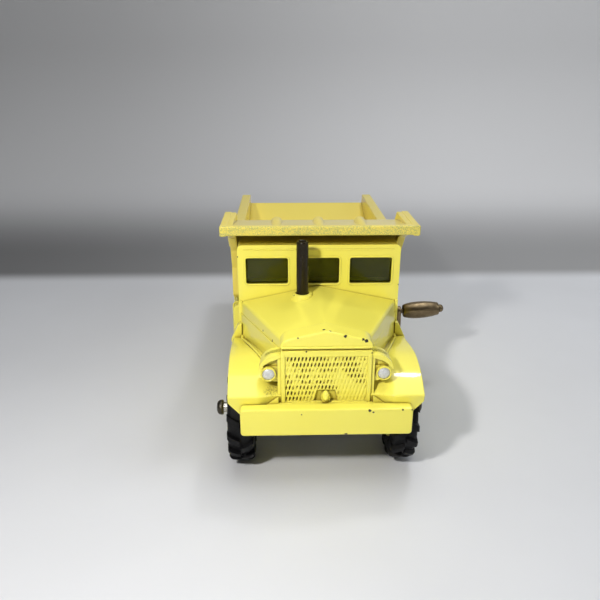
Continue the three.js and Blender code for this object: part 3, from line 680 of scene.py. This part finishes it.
# ---- radiator, grille and lamps ----
def grille_sheet():
    """Expanded-metal grille: staggered slits, many of them part filled with paint; the open slits and the
    notch's rim carry painted shade.
    """
    step = 0.078
    nx = round(2 * GRILLE_X / step)
    nz = round((GRILLE_Z[1] - GRILLE_Z[0]) / step)
    pitch_x, pitch_z = 0.93, 1.62
    bm = bmesh.new()
    # how much painted shade each point of the grille gets
    hollow = bm.verts.layers.float.new("hollow")
    rows = []
    for j in range(nz + 1):
        z = GRILLE_Z[0] + (GRILLE_Z[1] - GRILLE_Z[0]) * j / nz
        row = []
        for i in range(nx + 1):
            x = -GRILLE_X + 2 * GRILLE_X * i / nx
            line = round((z - GRILLE_Z[0] - 0.8) / pitch_z)
            dz = z - GRILLE_Z[0] - 0.8 - line * pitch_z
            lean = x - 0.16 * dz + (pitch_x / 2 if line % 2 else 0)
            dx = lean - pitch_x * round(lean / pitch_x)
            inside = 1 - abs(dx) / 0.235 - (abs(dz) / 0.68) ** 2
            slit = max(0.0, min(1.0, inside * 2.8))
            cloud = noise.noise(Vector((x * 0.22 + z * 0.1, z * 0.15, 3.7)))
            grain = noise.noise(Vector((x * 1.1, z * 1.1, 9.1)))
            fill = max(0.0, min(1.0, 0.62 + 1.9 * cloud + 0.8 * grain))
            edge = min(GRILLE_X - abs(x), z - GRILLE_Z[0], GRILLE_Z[1] - z)
            if edge < 0.5:
                fill *= max(0.0, edge / 0.5)
            ridge = 0.05 * math.cos(2 * math.pi * (lean / pitch_x)) * math.cos(math.pi * dz / pitch_z)
            depth = slit * (0.07 + 0.62 * fill) + ridge
            inset = min(27.6 - z, 2.4 + 0.22 * (27.6 - z) - abs(x))
            in_notch = inset > 0
            if in_notch:
                depth = min(0.85, 3.5 * inset)
            v = bm.verts.new((x, GRILLE_Y + 0.28 + depth, z))
            # painted shade: the open part of each slit, and the rim of the notch, are darkened
            v[hollow] = max(0.0, 0.75 - 1.6 * inset) if in_notch else slit * fill
            row.append(v)
        rows.append(row)
    for low, high in zip(rows, rows[1:]):
        for i in range(nx):
            bm.faces.new((low[i], low[i + 1], high[i + 1], high[i]))
    return bm


def radiator_parts():
    half = 11.5
    parts = [grille_sheet()]
    parts.append(block((-GRILLE_X - 0.2, GRILLE_X + 0.2), (GRILLE_Y + 1.1, 10), (23.6, 37.6)))
    frame_y = (GRILLE_Y - 0.12, 10)
    parts += both(soft_block((GRILLE_X - 0.05, half), frame_y, (23.4, 37.9), 0.22))
    parts.append(soft_block((-half, half), (GRILLE_Y - 0.05, 9.8), (37.15, 38.95), 0.24))
    parts.append(soft_block((-10.7, 10.7), (GRILLE_Y + 0.45, 9.8), (38.7, 39.9), 0.1))
    parts.append(soft_block((-half, half), (GRILLE_Y - 0.05, 9.8), (23.2, 24.4), 0.2))
    slope = [(11.6, 39.35), (11.6, 40.3), (11.25, 41.0), (10.6, 41.6), (9.4, 42.1), (6, 42.85), (2.2, 43.75)]
    cap = [(-11.6, 39.35), *slope, (0, 44.15), *((-x, z) for x, z in reversed(slope[1:]))]
    parts.append(soft_prism("y", cap, (CAP_FRONT_Y, 10.4), 0.42, 30))
    lip = [(x, GRILLE_Y, 39.75) for x in (-11.3, 11.3)]
    parts.append(tube(lip, 0.3, 10, False))
    # the starter's plate and boss at the foot of the grille
    parts.append(ellipsoid((-0.1, GRILLE_Y - 0.3, 26.2), (0.95, 1.25, 1.5)))
    parts.append(turned("y", [(0, 3.9), (1.15, 3.9), (1.2, 4.3), (1.25, 6)], (-0.1, 25.7), 32))
    # the sill between grille and bumper, with small brackets each side
    parts.append(soft_block((-15.2, 15.2), (2.4, 9), (22.2, 24.15), 0.2))
    bracket = [(12.2, 23.8), (15.0, 23.8), (14.7, 24.3), (12.2, 25.9)]
    parts += both(soft_prism("y", bracket, (4.1, 5.3), 0.12))
    parts += both(soft_block((11.4, 12.4), (GRILLE_Y + 0.5, 10), (23.8, 37.2), 0.15))
    return parts


def lamp_parts():
    """Lamp shell, bracket plate and eyebrow for the left-hand side, in paint."""
    bezel = [(0, 4.95), (1.52, 4.95), (1.6, 4.55), (1.78, 4.42), (1.95, 4.6), (1.98, 5.0), (1.8, 6.2),
             (1.3, 8.2), (0.9, 9.4), (0, 9.4)]
    parts = [turned("y", bezel, (LAMP_X, LAMP_Z), 48)]
    plate = [(11.2, 29.7), (13.4, 29.7), (15.4, 30.8), (15.6, 33.4), (13.4, 34.05), (11.2, 34.15)]
    parts.append(soft_prism("y", plate, (5.75, 8.2), 0.12))
    outer = [(10.8, 37.85), (12.6, 37.7), (14.2, 37.3), (15.6, 36.4), (16.65, 35.1), (17.1, 33.9),
             (17.1, 33.3)]
    inner = [(16.75, 33.4), (16.15, 34.3), (15.4, 35.0), (14.2, 35.75), (13.0, 36.2), (11.3, 36.85),
             (10.8, 37.0)]
    parts.append(soft_prism("y", spline(outer, 3) + spline(inner, 3), (4.95, 8.2), 0.22, 40))
    back = spline(outer[:5], 3) + [(15.4, 32.0), (13.4, 29.9), (10.8, 29.9)]
    parts.append(soft_prism("y", back, (6.3, 9.6), 0.2, 40))
    return parts


def lens(side):
    profile = [(0, 4.3), (0.5, 4.33), (1.0, 4.42), (1.35, 4.56), (1.56, 4.75), (1.56, 5.1), (0, 5.1)]
    return turned("y", profile, (side * LAMP_X, LAMP_Z), 48)


# ---- chassis ----
def frame_parts():
    """The chassis pieces and the holes through them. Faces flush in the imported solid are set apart."""
    low, high = FRAME_Z
    side = CAB_HALF - 0.15
    wall = CAB_HALF - 0.3
    deck = RAIL_X[1] - 0.15
    tank_x, tank_z = (-27.6, -24), (14.5, 30)
    parts = [
        soft_block((-wall, wall), (53, 54.8), (low + 0.2, high + 1)),
        soft_block((-CAB_HALF, CAB_HALF), FRAME_REAR_Y, FRAME_Z),
        soft_block((-deck, deck), (75.2, 106.8), (high - 2, high - 0.15)),
        soft_block((-14, 14), (8, 10), (low, 24)),
        soft_prism("y", rounded((-21.9, 21.9), BUMPER_Z, 0.9), (0, 3), 0.45, 40),
        soft_prism("y", rounded(tank_x, tank_z, 1.5), (57.2, 71), 0.5, 40),
    ]
    strap = rounded((tank_x[0] - 0.1, tank_x[1] + 0.4), (tank_z[0] - 0.1, tank_z[1] + 0.1), 1.5)
    for y in (60.5, 67.7):
        parts.append(tube([(x - 0.05, y, z) for x, z in strap], 0.35, 8))
    filler = [(0, 29.8), (1.1, 29.8), (1.1, 30.8), (0.8, 31.1), (0, 31.1)]
    parts.append(turned("z", filler, (-25.9, 64), 24))
    tail = [(100, 22), (TILT_Y + 2, 23.2), (TILT_Y - 2, 30.8), (103, high)]
    parts += both(soft_block((22.8, side), (41.35, 76.2), (low + 0.1, high + 2)))
    parts += both(soft_block(RAIL_X, (FRAME_REAR_Y[0], TILT_Y - 2), FRAME_Z))
    parts += both(soft_prism("x", tail, (RAIL_X[0] + 0.15, deck)))
    parts += both(soft_block((12.4, 15.9), (8, 54.2), (low, 24)))
    parts += both(soft_block((12.4, 23), (CAB_Y[0] - 1.6, CAB_Y[0]), (low, 28)))
    eye = [(1.5, 5.2), (4.1, 5.2), (4.3, 5.4), (4.3, 8.2), (4.1, 8.4), (1.5, 8.4), (1.5, 5.2)]
    parts += both(turned("x", eye, (TILT_Y, TILT_Z)))
    for y in ((54.2, 58.4), FRAME_REAR_Y):
        post = [(WORM_X - 3, WORM_Z), (WORM_X + 3, WORM_Z), (WORM_X + 3, low), (WORM_X - 3, low)]
        parts.append(prism("y", post, y))
        parts.append(turned("y", [(0, y[0]), (3, y[0]), (3, y[1]), (0, y[1])], (WORM_X, WORM_Z), 32))

    def hole(axis, r, span, centre):
        return turned(axis, [(0, span[0]), (r, span[0]), (r, span[1]), (0, span[1])], centre, 32)

    holes = [
        hole("x", AXLE_HOLE_R, (-30, 30), (FRONT_AXLE_Y, TYRE_R)),
        hole("x", AXLE_HOLE_R, (-10, 10), (REAR_AXLE_Y, TYRE_R)),
        hole("x", 1.75, (-23.9, 30), (CRANK_Y, CRANK_Z)),
        hole("y", 1.65, (55, 80), (WORM_X, WORM_Z)),
    ]
    return parts, holes


def drill(parts, holes):
    """Cuts each hole through each part whose box it meets."""
    def bounds(bm):
        xs = [v.co for v in bm.verts]
        return [(min(c[i] for c in xs), max(c[i] for c in xs)) for i in range(3)]
    out = []
    for part in parts:
        box = bounds(part)
        near = [h for h in holes
                if all(a[0] < b[1] and b[0] < a[1] for a, b in zip(box, bounds(h)))]
        out.append(boolean(part, near) if near else part)
    return out


chassis_frame, axle_holes = frame_parts()
lamps = [b for part in lamp_parts() for b in both(part)]
casting = cab_parts() + bonnet_parts() + wing_parts() + radiator_parts() + lamps
casting += drill(chassis_frame, axle_holes)
piece(
    "cab_and_chassis_paintwork",
    [(bm, cab_enamel) for bm in casting] + [(lens(s), lamp_silver) for s in (-1, 1)],
    "chassis", ["cab_and_chassis_casting"],
)


# ---- glazing: panes with a raised face and rounded edge, on an inner ring ----
def glazing_parts():
    gap = 0.3
    front = CAB_Y[0] + WALL + gap
    rear = CAB_Y[1] - WALL - gap
    inner = CAB_HALF - WALL - gap
    z = (WINDOW_Z[0] - 1.2, WINDOW_Z[1] + 1.2)
    shell = block((-inner, inner), (front, rear), z)
    hollow = block((1 - inner, inner - 1), (front + 1, rear - 1), (z[0] - 1, z[1] + 1))
    ring = boolean(shell, [hollow])
    pane_z = (WINDOW_Z[0] + gap, WINDOW_Z[1] - gap)
    outlines = [(-CENTRE_PANE_X + gap, CENTRE_PANE_X - gap), (SIDE_PANE_X[0] + gap, SIDE_PANE_X[1] - gap),
                (-SIDE_PANE_X[1] + gap, -SIDE_PANE_X[0] - gap)]
    parts = [ring]
    for x in outlines:
        parts.append(soft_prism("y", rounded(x, pane_z, 0.8), (front - 0.9, front + 0.05), 0.5, 60))
    back = rounded((gap - REAR_WINDOW_X, REAR_WINDOW_X - gap), pane_z, 0.8)
    parts.append(soft_prism("y", back, (rear - 0.05, rear + 0.9), 0.3, 60))
    side = rounded((SIDE_WINDOW_Y[0] + gap, SIDE_WINDOW_Y[1] - gap), pane_z, 0.8)
    parts += both(soft_prism("x", side, (inner - 0.05, inner + 0.9), 0.3, 60))
    return boolean(parts[0], parts[1:], "UNION")


piece("cab_glazing_moulding", [(glazing_parts(), olive_window)], "chassis", ["cab_glazing"])

# ---- exhaust stack ----
stack_profile = [(0, 40.6), (1.62, 40.6), (1.72, 40.8), (1.72, 58.3), (1.66, 58.65), (1.5, 58.85),
                 (1.25, 58.9), (1.08, 58.8), (1.02, 58.5), (1.0, 57), (0, 57)]
piece("exhaust_stack_turned", [(turned("z", stack_profile, (STACK_X, STACK_Y)), stack_brown)],
      "chassis", ["exhaust_stack"])

# ---- base plate and rivets ----
plate = soft_prism("z", rounded((-15.8, 15.8), (9.6, 54), 2), (11.4, 12.2), 0.18, 60)
plate_holes = [turned("z", [(0, 10), (1.9, 10), (1.9, 13), (0, 13)], (0, y), 32) for y in BASE_RIVET_Y]
panel = boolean(plate, plate_holes)
plate_parts = [(panel, zinc)]
for y in (24, 31, 38):
    plate_parts.append((soft_block((-10, 10), (y - 0.6, y + 0.6), (11.55, 12.0), 0.15), zinc))
piece("base_plate_pressing", plate_parts, "chassis", ["base_plate"])
for end, y in zip(("front", "rear"), BASE_RIVET_Y):
    head = [(0, 10.6), (1.6, 10.6), (2.3, 10.75), (2.65, 11.0), (2.65, 11.12), (1.6, 11.12), (1.6, 23),
            (0, 23)]
    piece(f"base_rivet_{end}_turned", [(turned("z", head, (0, y), 40), zinc)],
          "chassis", [f"base_rivet_{end}"])


# ---- wheels ----
def tyre_parts():
    crown = 13.35
    profile = [(8.5, -2.4), (8.9, -2.95), (9.6, -3.3), (10.6, -3.48), (11.6, -3.42), (12.5, -3.2),
               (13.1, -2.75), (crown, -2.1), (crown + 0.08, 0), (crown, 2.1), (13.1, 2.75),
               (12.5, 3.2), (11.6, 3.42), (10.6, 3.48), (9.6, 3.3), (8.9, 2.95), (8.5, 2.4), (8.5, -2.4)]
    parts = [turned("x", profile, (0, 0), 96)]
    for side in (-1, 1):
        parts.append(tube([(side * 3.36, 9.9 * math.cos(a), 9.9 * math.sin(a))
                           for a in (2 * math.pi * k / 72 for k in range(72))], 0.16, 6))
    count = 16
    # a lug's sections: x, how far round it is in mm, half width, foot radius, top radius
    sections = [(0.12, 0.0, 0.98, 12.9, 14.42), (1.1, 0.5, 0.97, 12.9, 14.54), (2.2, 1.1, 0.95, 12.8, 14.5),
                (2.95, 1.5, 0.95, 12.4, 14.25), (3.42, 1.85, 0.9, 11.9, 13.7), (3.5, 2.15, 0.7, 11.2, 12.6)]
    for side in (-1, 1):
        for i in range(count):
            turn = (i + (0.5 if side > 0 else 0)) * 2 * math.pi / count
            bm = bmesh.new()
            rings = []
            for x, round_mm, half, foot, top in sections:
                ring = []
                for r, sign, share in ((foot, -1, 1.12), (top, -1, 0.9), (top, 1, 0.9), (foot, 1, 1.12)):
                    a = turn + (round_mm + sign * half * share) / 13.5
                    ring.append(bm.verts.new((side * x, -r * math.sin(a), r * math.cos(a))))
                rings.append(ring)
            for low, high in zip(rings, rings[1:]):
                for k in range(4):
                    bm.faces.new((low[k], low[(k + 1) % 4], high[(k + 1) % 4], high[k]))
            bm.faces.new(rings[0])
            bm.faces.new(rings[-1])
            tidy(bm)
            parts.append(soften(bm, 0.2, 2, 30))
    return parts


def hub_parts():
    profile = [(1.8, -3.3), (8.5, -3.3), (8.7, -3.2), (8.7, -2.9), (8.2, -2.75), (8.2, 2.75), (8.72, 2.9),
               (8.9, 3.1), (8.86, 3.38), (8.6, 3.5), (7.95, 3.5), (7.6, 3.3), (7.0, 2.3), (6.6, 1.98),
               (6.1, 1.9), (4.3, 1.9), (3.85, 2.0), (3.55, 2.4), (3.3, 3.3), (3.1, 3.48), (2.8, 3.5),
               (1.95, 3.5), (1.8, 3.4), (1.8, -3.3)]
    return [turned("x", profile, (0, 0), 80)]


def wheel(label, x, y):
    turn = Matrix.Rotation(math.pi if x < 0 else 0, 4, "Z")
    place = Matrix.Translation((x, y, TYRE_R)) @ turn
    body = f"{label}_wheel"
    piece(f"{label}_tyre_moulding", [(moved(p, place), black_rubber) for p in tyre_solids],
          body, [f"{label}_tyre"], 50)
    piece(f"{label}_hub_casting", [(moved(p, place), hub_enamel) for p in hub_solids],
          body, [f"{label}_hub"])


tyre_solids = tyre_parts()
hub_solids = hub_parts()
for label, side in (("right", -1), ("left", 1)):
    wheel(f"front_{label}", side * WHEEL_X + SIDE_PLAY, FRONT_AXLE_Y)
    wheel(f"rear_{label}_outer", side * WHEEL_X + SIDE_PLAY, REAR_AXLE_Y)
    wheel(f"rear_{label}_inner", side * INNER_WHEEL_X, REAR_AXLE_Y)


def axle_piece(name, ends, y, body):
    """The axle's two domed heads, and the bright neck that shows inside the right-hand one."""
    dome = [(1.45, 1.95), (1.95, 1.9), (2.1, 1.7), (2.12, 1.2), (2.0, 0.75), (1.7, 0.38), (1.1, 0.1),
            (0.5, 0.02), (0, 0)]
    right_head = [(r, ends[0] + inward) for r, inward in reversed(dome)]
    left_head = [(r, ends[1] - inward) for r, inward in dome]
    domes = turned("x", right_head + left_head, (y, TYRE_R), 48)
    neck_x = (ends[0] + 2.1, ends[0] + 3.6)
    section = [(1.48, neck_x[0]), (1.5, neck_x[0]), (1.5, neck_x[1]), (1.48, neck_x[1]), (1.48, neck_x[0])]
    neck = turned("x", section, (y, TYRE_R), 48)
    piece(name, [(domes, dark_steel), (neck, bright_steel)], body,
          [name.replace("_rod", "")])


axle_piece("front_axle_rod", (-29.9, 28.6), FRONT_AXLE_Y, "front_axle_rod")
axle_piece("rear_axle_rod", (-28.8, 28.6), REAR_AXLE_Y, "rear_axle_rod")


# ---- tipping body ----
def body_parts():
    middle = [(37.5, 59.7), (37.5, 62.2), (38.6, 62.25), (56, 59.55), (60.6, 47), (60.6, 34), (100, 34),
              (142, 46.3), (142, 44.3), (104, 32), (60, 32), (58.6, 33.4), (58.6, 45), (57, 52),
              (55.4, 57.2), (39.2, 59.7)]
    parts = [soft_prism("x", middle, (-25.6, 25.6), 0.35, 12)]
    parts.append(soft_prism("y", rounded((-BODY_HALF, BODY_HALF), CANOPY_Z, 0.6, 4), (37, 38.8), 0.5, 50))
    panel = [(37.8, 59.6), (37.8, 62.1), (55.9, 62.1), (66.9, 49.9), (140.1, 49.9), (142, 47.5), (142, 44.3),
             (104, 32), (60, 32), (58.6, 33.4), (58.6, 43), (56, 49.5), (51, 55), (44, 58.4), (40, 59.5)]
    rail = [(37.3, 59.35), (37.3, 62.3), (56, 62.3), (57.4, 61.6), (67, 50.25), (140.3, 50.25),
            (140.8, 48.0), (65.4, 48.0), (55.4, 59.6), (40, 59.35)]
    parts += both(soft_prism("x", panel, (25.2, 27.6), 0.3, 12))
    parts += both(soft_prism("x", rail, (26.7, BODY_HALF), 0.42, 12))
    parts += both(soft_block((25.1, 28.6), (66.4, 140.4), (48.2, 50.3), 0.42))
    parts += both(soft_block((26.95, BODY_HALF + 0.02), (36.95, 39.4), (59.3, 62.37), 0.4))
    for i in range(5):
        y = 71 + i * 14.5
        foot = max(33, 33 + (y + 2.2 - 104) * 12.3 / 38)
        parts += both(soft_block((27, 28.65), (y, y + 2.2), (foot, 49.3), 0.45))
    for x in (-12.6, 0.0, 12.6):
        section = [(x + 1.75 * math.cos(a), 60.55 + 1.75 * math.sin(a))
                   for a in (math.pi * k / 14 for k in range(15))]
        section += [(x - 1.75, 59.2), (x + 1.75, 59.2)]
        parts.append(soft_prism("y", section, (38.2, 49.4), 0.3, 50))
    lug = [(TILT_Y - 5, 34), (TILT_Y + 5, 36.5), (TILT_Y + 2.8, TILT_Z), (TILT_Y - 2.8, TILT_Z)]
    parts += both(soft_prism("x", lug, (8.7, 10.7), 0.2))
    eye = [(1.5, 8.7), (2.8, 8.7), (2.8, 10.7), (1.5, 10.7), (1.5, 8.7)]
    parts += both(turned("x", eye, (TILT_Y, TILT_Z), 40))
    return parts


def lift_pad():
    """The pad under the body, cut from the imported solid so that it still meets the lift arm."""
    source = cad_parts["tipping_body"].data
    bm = bmesh.new()
    bm.from_mesh(source)
    bm.transform(Matrix.Translation(ORIGIN) @ Matrix.Scale(1 / MM, 4))
    bmesh.ops.remove_doubles(bm, verts=bm.verts[:], dist=1e-3)
    keep = block((-5, 18), (64, 76), (18, 32.05))
    return boolean(bm, [keep], "INTERSECT")


piece("tipping_body_paintwork", [(bm, body_enamel) for bm in body_parts()] + [(lift_pad(), body_enamel)],
      "dump_body", ["tipping_body"])

# ---- crank ----
def crank_parts():
    outline = [(CRANK_Y + 2.3 * math.cos(a), CRANK_Z + 2.3 * math.sin(a))
               for a in (math.pi + math.pi * k / 14 for k in range(15))]
    outline += [(CRANK_Y + 1.8 * math.cos(a), CRANK_Z + CRANK_THROW + 1.8 * math.sin(a))
                for a in (math.pi * k / 14 for k in range(15))]
    arm = soft_prism("x", outline, CRANK_ARM_X, 0.28, 50)
    hole = turned("x", [(0, 28), (1.15, 28), (1.15, 32), (0, 32)], (CRANK_Y, CRANK_Z), 32)
    return boolean(arm, [hole])


piece("crank_arm_pressing", [(crank_parts(), bronzed)], "crank", ["crank_arm"])

CANT = Matrix.Translation((CRANK_ARM_X[1] + 0.3, CRANK_Y, CRANK_Z + CRANK_THROW))
CANT = CANT @ Matrix.Rotation(math.radians(GRIP_CANT), 4, "Y")
grip_profile = [(1.1, 0.5), (1.9, 0.5), (2.1, 0.65), (2.3, 1.0), (2.62, 2.2), (2.84, 3.6), (2.92, 5.2),
                (2.93, 7.2), (2.82, 8.9), (2.6, 10.6), (2.35, 11.9), (2.2, 12.6), (2.05, 12.85), (1.8, 12.9),
                (1.1, 12.9), (1.1, 0.5)]
piece("crank_grip_turned", [(moved(turned("x", grip_profile), CANT), bronzed)],
      "grip", ["crank_grip"])
rivet_profile = [(0, 0), (0.8, 0), (0.8, 13.15), (1.38, 13.2), (1.4, 13.6), (1.25, 14.1), (0.9, 14.5),
                 (0.4, 14.68), (0, 14.7)]
piece("grip_rivet_turned", [(moved(turned("x", rivet_profile, (0, 0), 40), CANT), bronzed)],
      "crank", ["grip_rivet"])

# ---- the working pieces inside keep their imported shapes, with rounded edges ----
for node_name, material, width in (
    ("tilt_pin", bright_steel, 0.2), ("lift_arm", bright_steel, 0.12), ("lift_arm_pin", bright_steel, 0.15),
    ("crank_shaft", bright_steel, 0.05),
):
    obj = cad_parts[node_name]
    obj.data.materials.clear()
    obj.data.materials.append(material)
    for polygon in obj.data.polygons:
        polygon.use_smooth = True
    obj.data.set_sharp_from_angle(angle=math.radians(32))
    edge = obj.modifiers.new("edge", "BEVEL")
    edge.width, edge.segments, edge.angle_limit = width * MM, 2, math.radians(40)

# ---- floor, backdrop, lights and camera ----
FLOOR_TONE = (0.69, 0.70, 0.73)
# painted shade on the floor behind the truck
WALL_SHADE_TONE = (0.36, 0.36, 0.365)
# painted light on the floor far back, where the lamps fall off
FAR_LIGHT_TONE = (0.8, 0.8, 0.81)


def stage_material(name, colour, near, far_light, roughness):
    """A pale floor with painted light and shade: darker behind the truck, paler again far back, and dimmer
    on the right.
    """
    n = Nodes(name)
    # painted shade on the truck's right side, painted light on its left
    side = n.ramp(n.axis(0), -0.2, 0.16)
    floor = n.mix(side, tuple(c * 0.86 for c in colour), tuple(c * 1.08 for c in colour))
    tone = n.mix(n.ramp(n.noise(9, 4, 0.6), 0.3, 0.7, 0, 0.08), floor, (0.3, 0.3, 0.3))
    behind = [n.mix(side, tuple(c * dim for c in tone_there), tone_there)
              for tone_there, dim in ((near, 0.44), (far_light, 0.74))]
    # behind the truck the floor carries painted shade, then painted light further back
    sheet = n.mix(n.ramp(n.axis(1), 0.14, 0.32), *behind)
    tone = n.mix(n.ramp(n.axis(1), 0.094, 0.112), tone, sheet)
    n.set(Base_Color=tone, Roughness=roughness, Specular_IOR_Level=0.25)
    n.bump((n.noise(900, 3, 0.6), 0.00008, 0.3))
    return n.material


def backdrop():
    """A pale floor that bends up, well behind the truck, into a wall."""
    fold, radius, wide = 460.0, 120.0, 900.0
    line = [(-700.0, 0.0), (fold - radius, 0.0)]
    for i in range(1, 13):
        a = math.pi / 2 * i / 12
        line.append((fold - radius + radius * math.sin(a), radius - radius * math.cos(a)))
    line.append((fold, 620.0))
    bm = bmesh.new()
    rows = [[bm.verts.new((x, y, z)) for y, z in line] for x in (-wide, wide)]
    for i in range(len(line) - 1):
        bm.faces.new((rows[0][i], rows[1][i], rows[1][i + 1], rows[0][i + 1]))
    bm.transform(Matrix.Scale(MM, 4) @ Matrix.Translation(-ORIGIN))
    mesh = bpy.data.meshes.new("backdrop")
    bm.to_mesh(mesh)
    for polygon in mesh.polygons:
        polygon.use_smooth = True
    mesh.materials.append(stage_material("backdrop_paper", FLOOR_TONE, WALL_SHADE_TONE, FAR_LIGHT_TONE, 0.6))
    obj = bpy.data.objects.new("backdrop", mesh)
    bpy.context.scene.collection.objects.link(obj)


backdrop()


def area_light(name, at, target, size, power, colour=(1, 1, 1)):
    data = bpy.data.lights.new(name, "AREA")
    data.shape = "RECTANGLE"
    data.size, data.size_y = (s * MM for s in size)
    data.energy, data.color = power, colour
    obj = bpy.data.objects.new(name, data)
    obj.location = to_frame(at)
    obj.rotation_mode = "QUATERNION"
    obj.rotation_quaternion = (to_frame(target) - to_frame(at)).to_track_quat("-Z", "Y")
    bpy.context.scene.collection.objects.link(obj)
    return obj


# The key is a small lamp close by on the truck's right.
# lamp_overhead makes the bar of light on its left wing.
area_light("key_light", (-82, -111, 154), (0, 25, 32), (16, 16), 0.31, (1.0, 0.975, 0.93))
area_light("ceiling_light", (60, 60, 900), (0, 60, 0), (700, 600), 2.95, (0.96, 0.98, 1.0))
area_light("window_light", (620, -100, 420), (0, 60, 40), (260, 340), 1.0, (0.95, 0.98, 1.0))
area_light("front_fill", (40, -560, 60), (0, 0, 30), (420, 100), 0.26, (1.0, 0.99, 0.96))
area_light("lamp_overhead", (137, 228, 564), (20.8, 7.9, 29.9), (58, 66), 0.42)

world = bpy.data.worlds.new("soft_room")
world.use_nodes = True
world.node_tree.nodes["Background"].inputs["Color"].default_value = (0.86, 0.87, 0.9, 1)
world.node_tree.nodes["Background"].inputs["Strength"].default_value = 0.05
bpy.context.scene.world = world

CAMERA_AT = Vector((-10.61, -129.95, 105.72))
PITCH, YAW, ROLL = (math.radians(a) for a in (21.54, 1.65, 0.13))
forward = Vector((math.sin(YAW) * math.cos(PITCH), math.cos(YAW) * math.cos(PITCH), -math.sin(PITCH)))
right = Vector((math.cos(YAW), -math.sin(YAW), 0))
up = right.cross(forward)
right, up = (
    math.cos(ROLL) * right + math.sin(ROLL) * up,
    math.cos(ROLL) * up - math.sin(ROLL) * right,
)
camera_data = bpy.data.cameras.new("camera")
camera_data.sensor_width = 36.0
camera_data.lens = 36.06
camera_data.clip_start, camera_data.clip_end = 0.01, 10
camera = bpy.data.objects.new("camera", camera_data)
turn = Matrix((right, up, -forward)).transposed().to_4x4()
camera.matrix_world = Matrix.Translation(to_frame(CAMERA_AT)) @ turn
bpy.context.scene.collection.objects.link(camera)
bpy.context.scene.camera = camera
bpy.context.scene.view_settings.view_transform = "Standard"
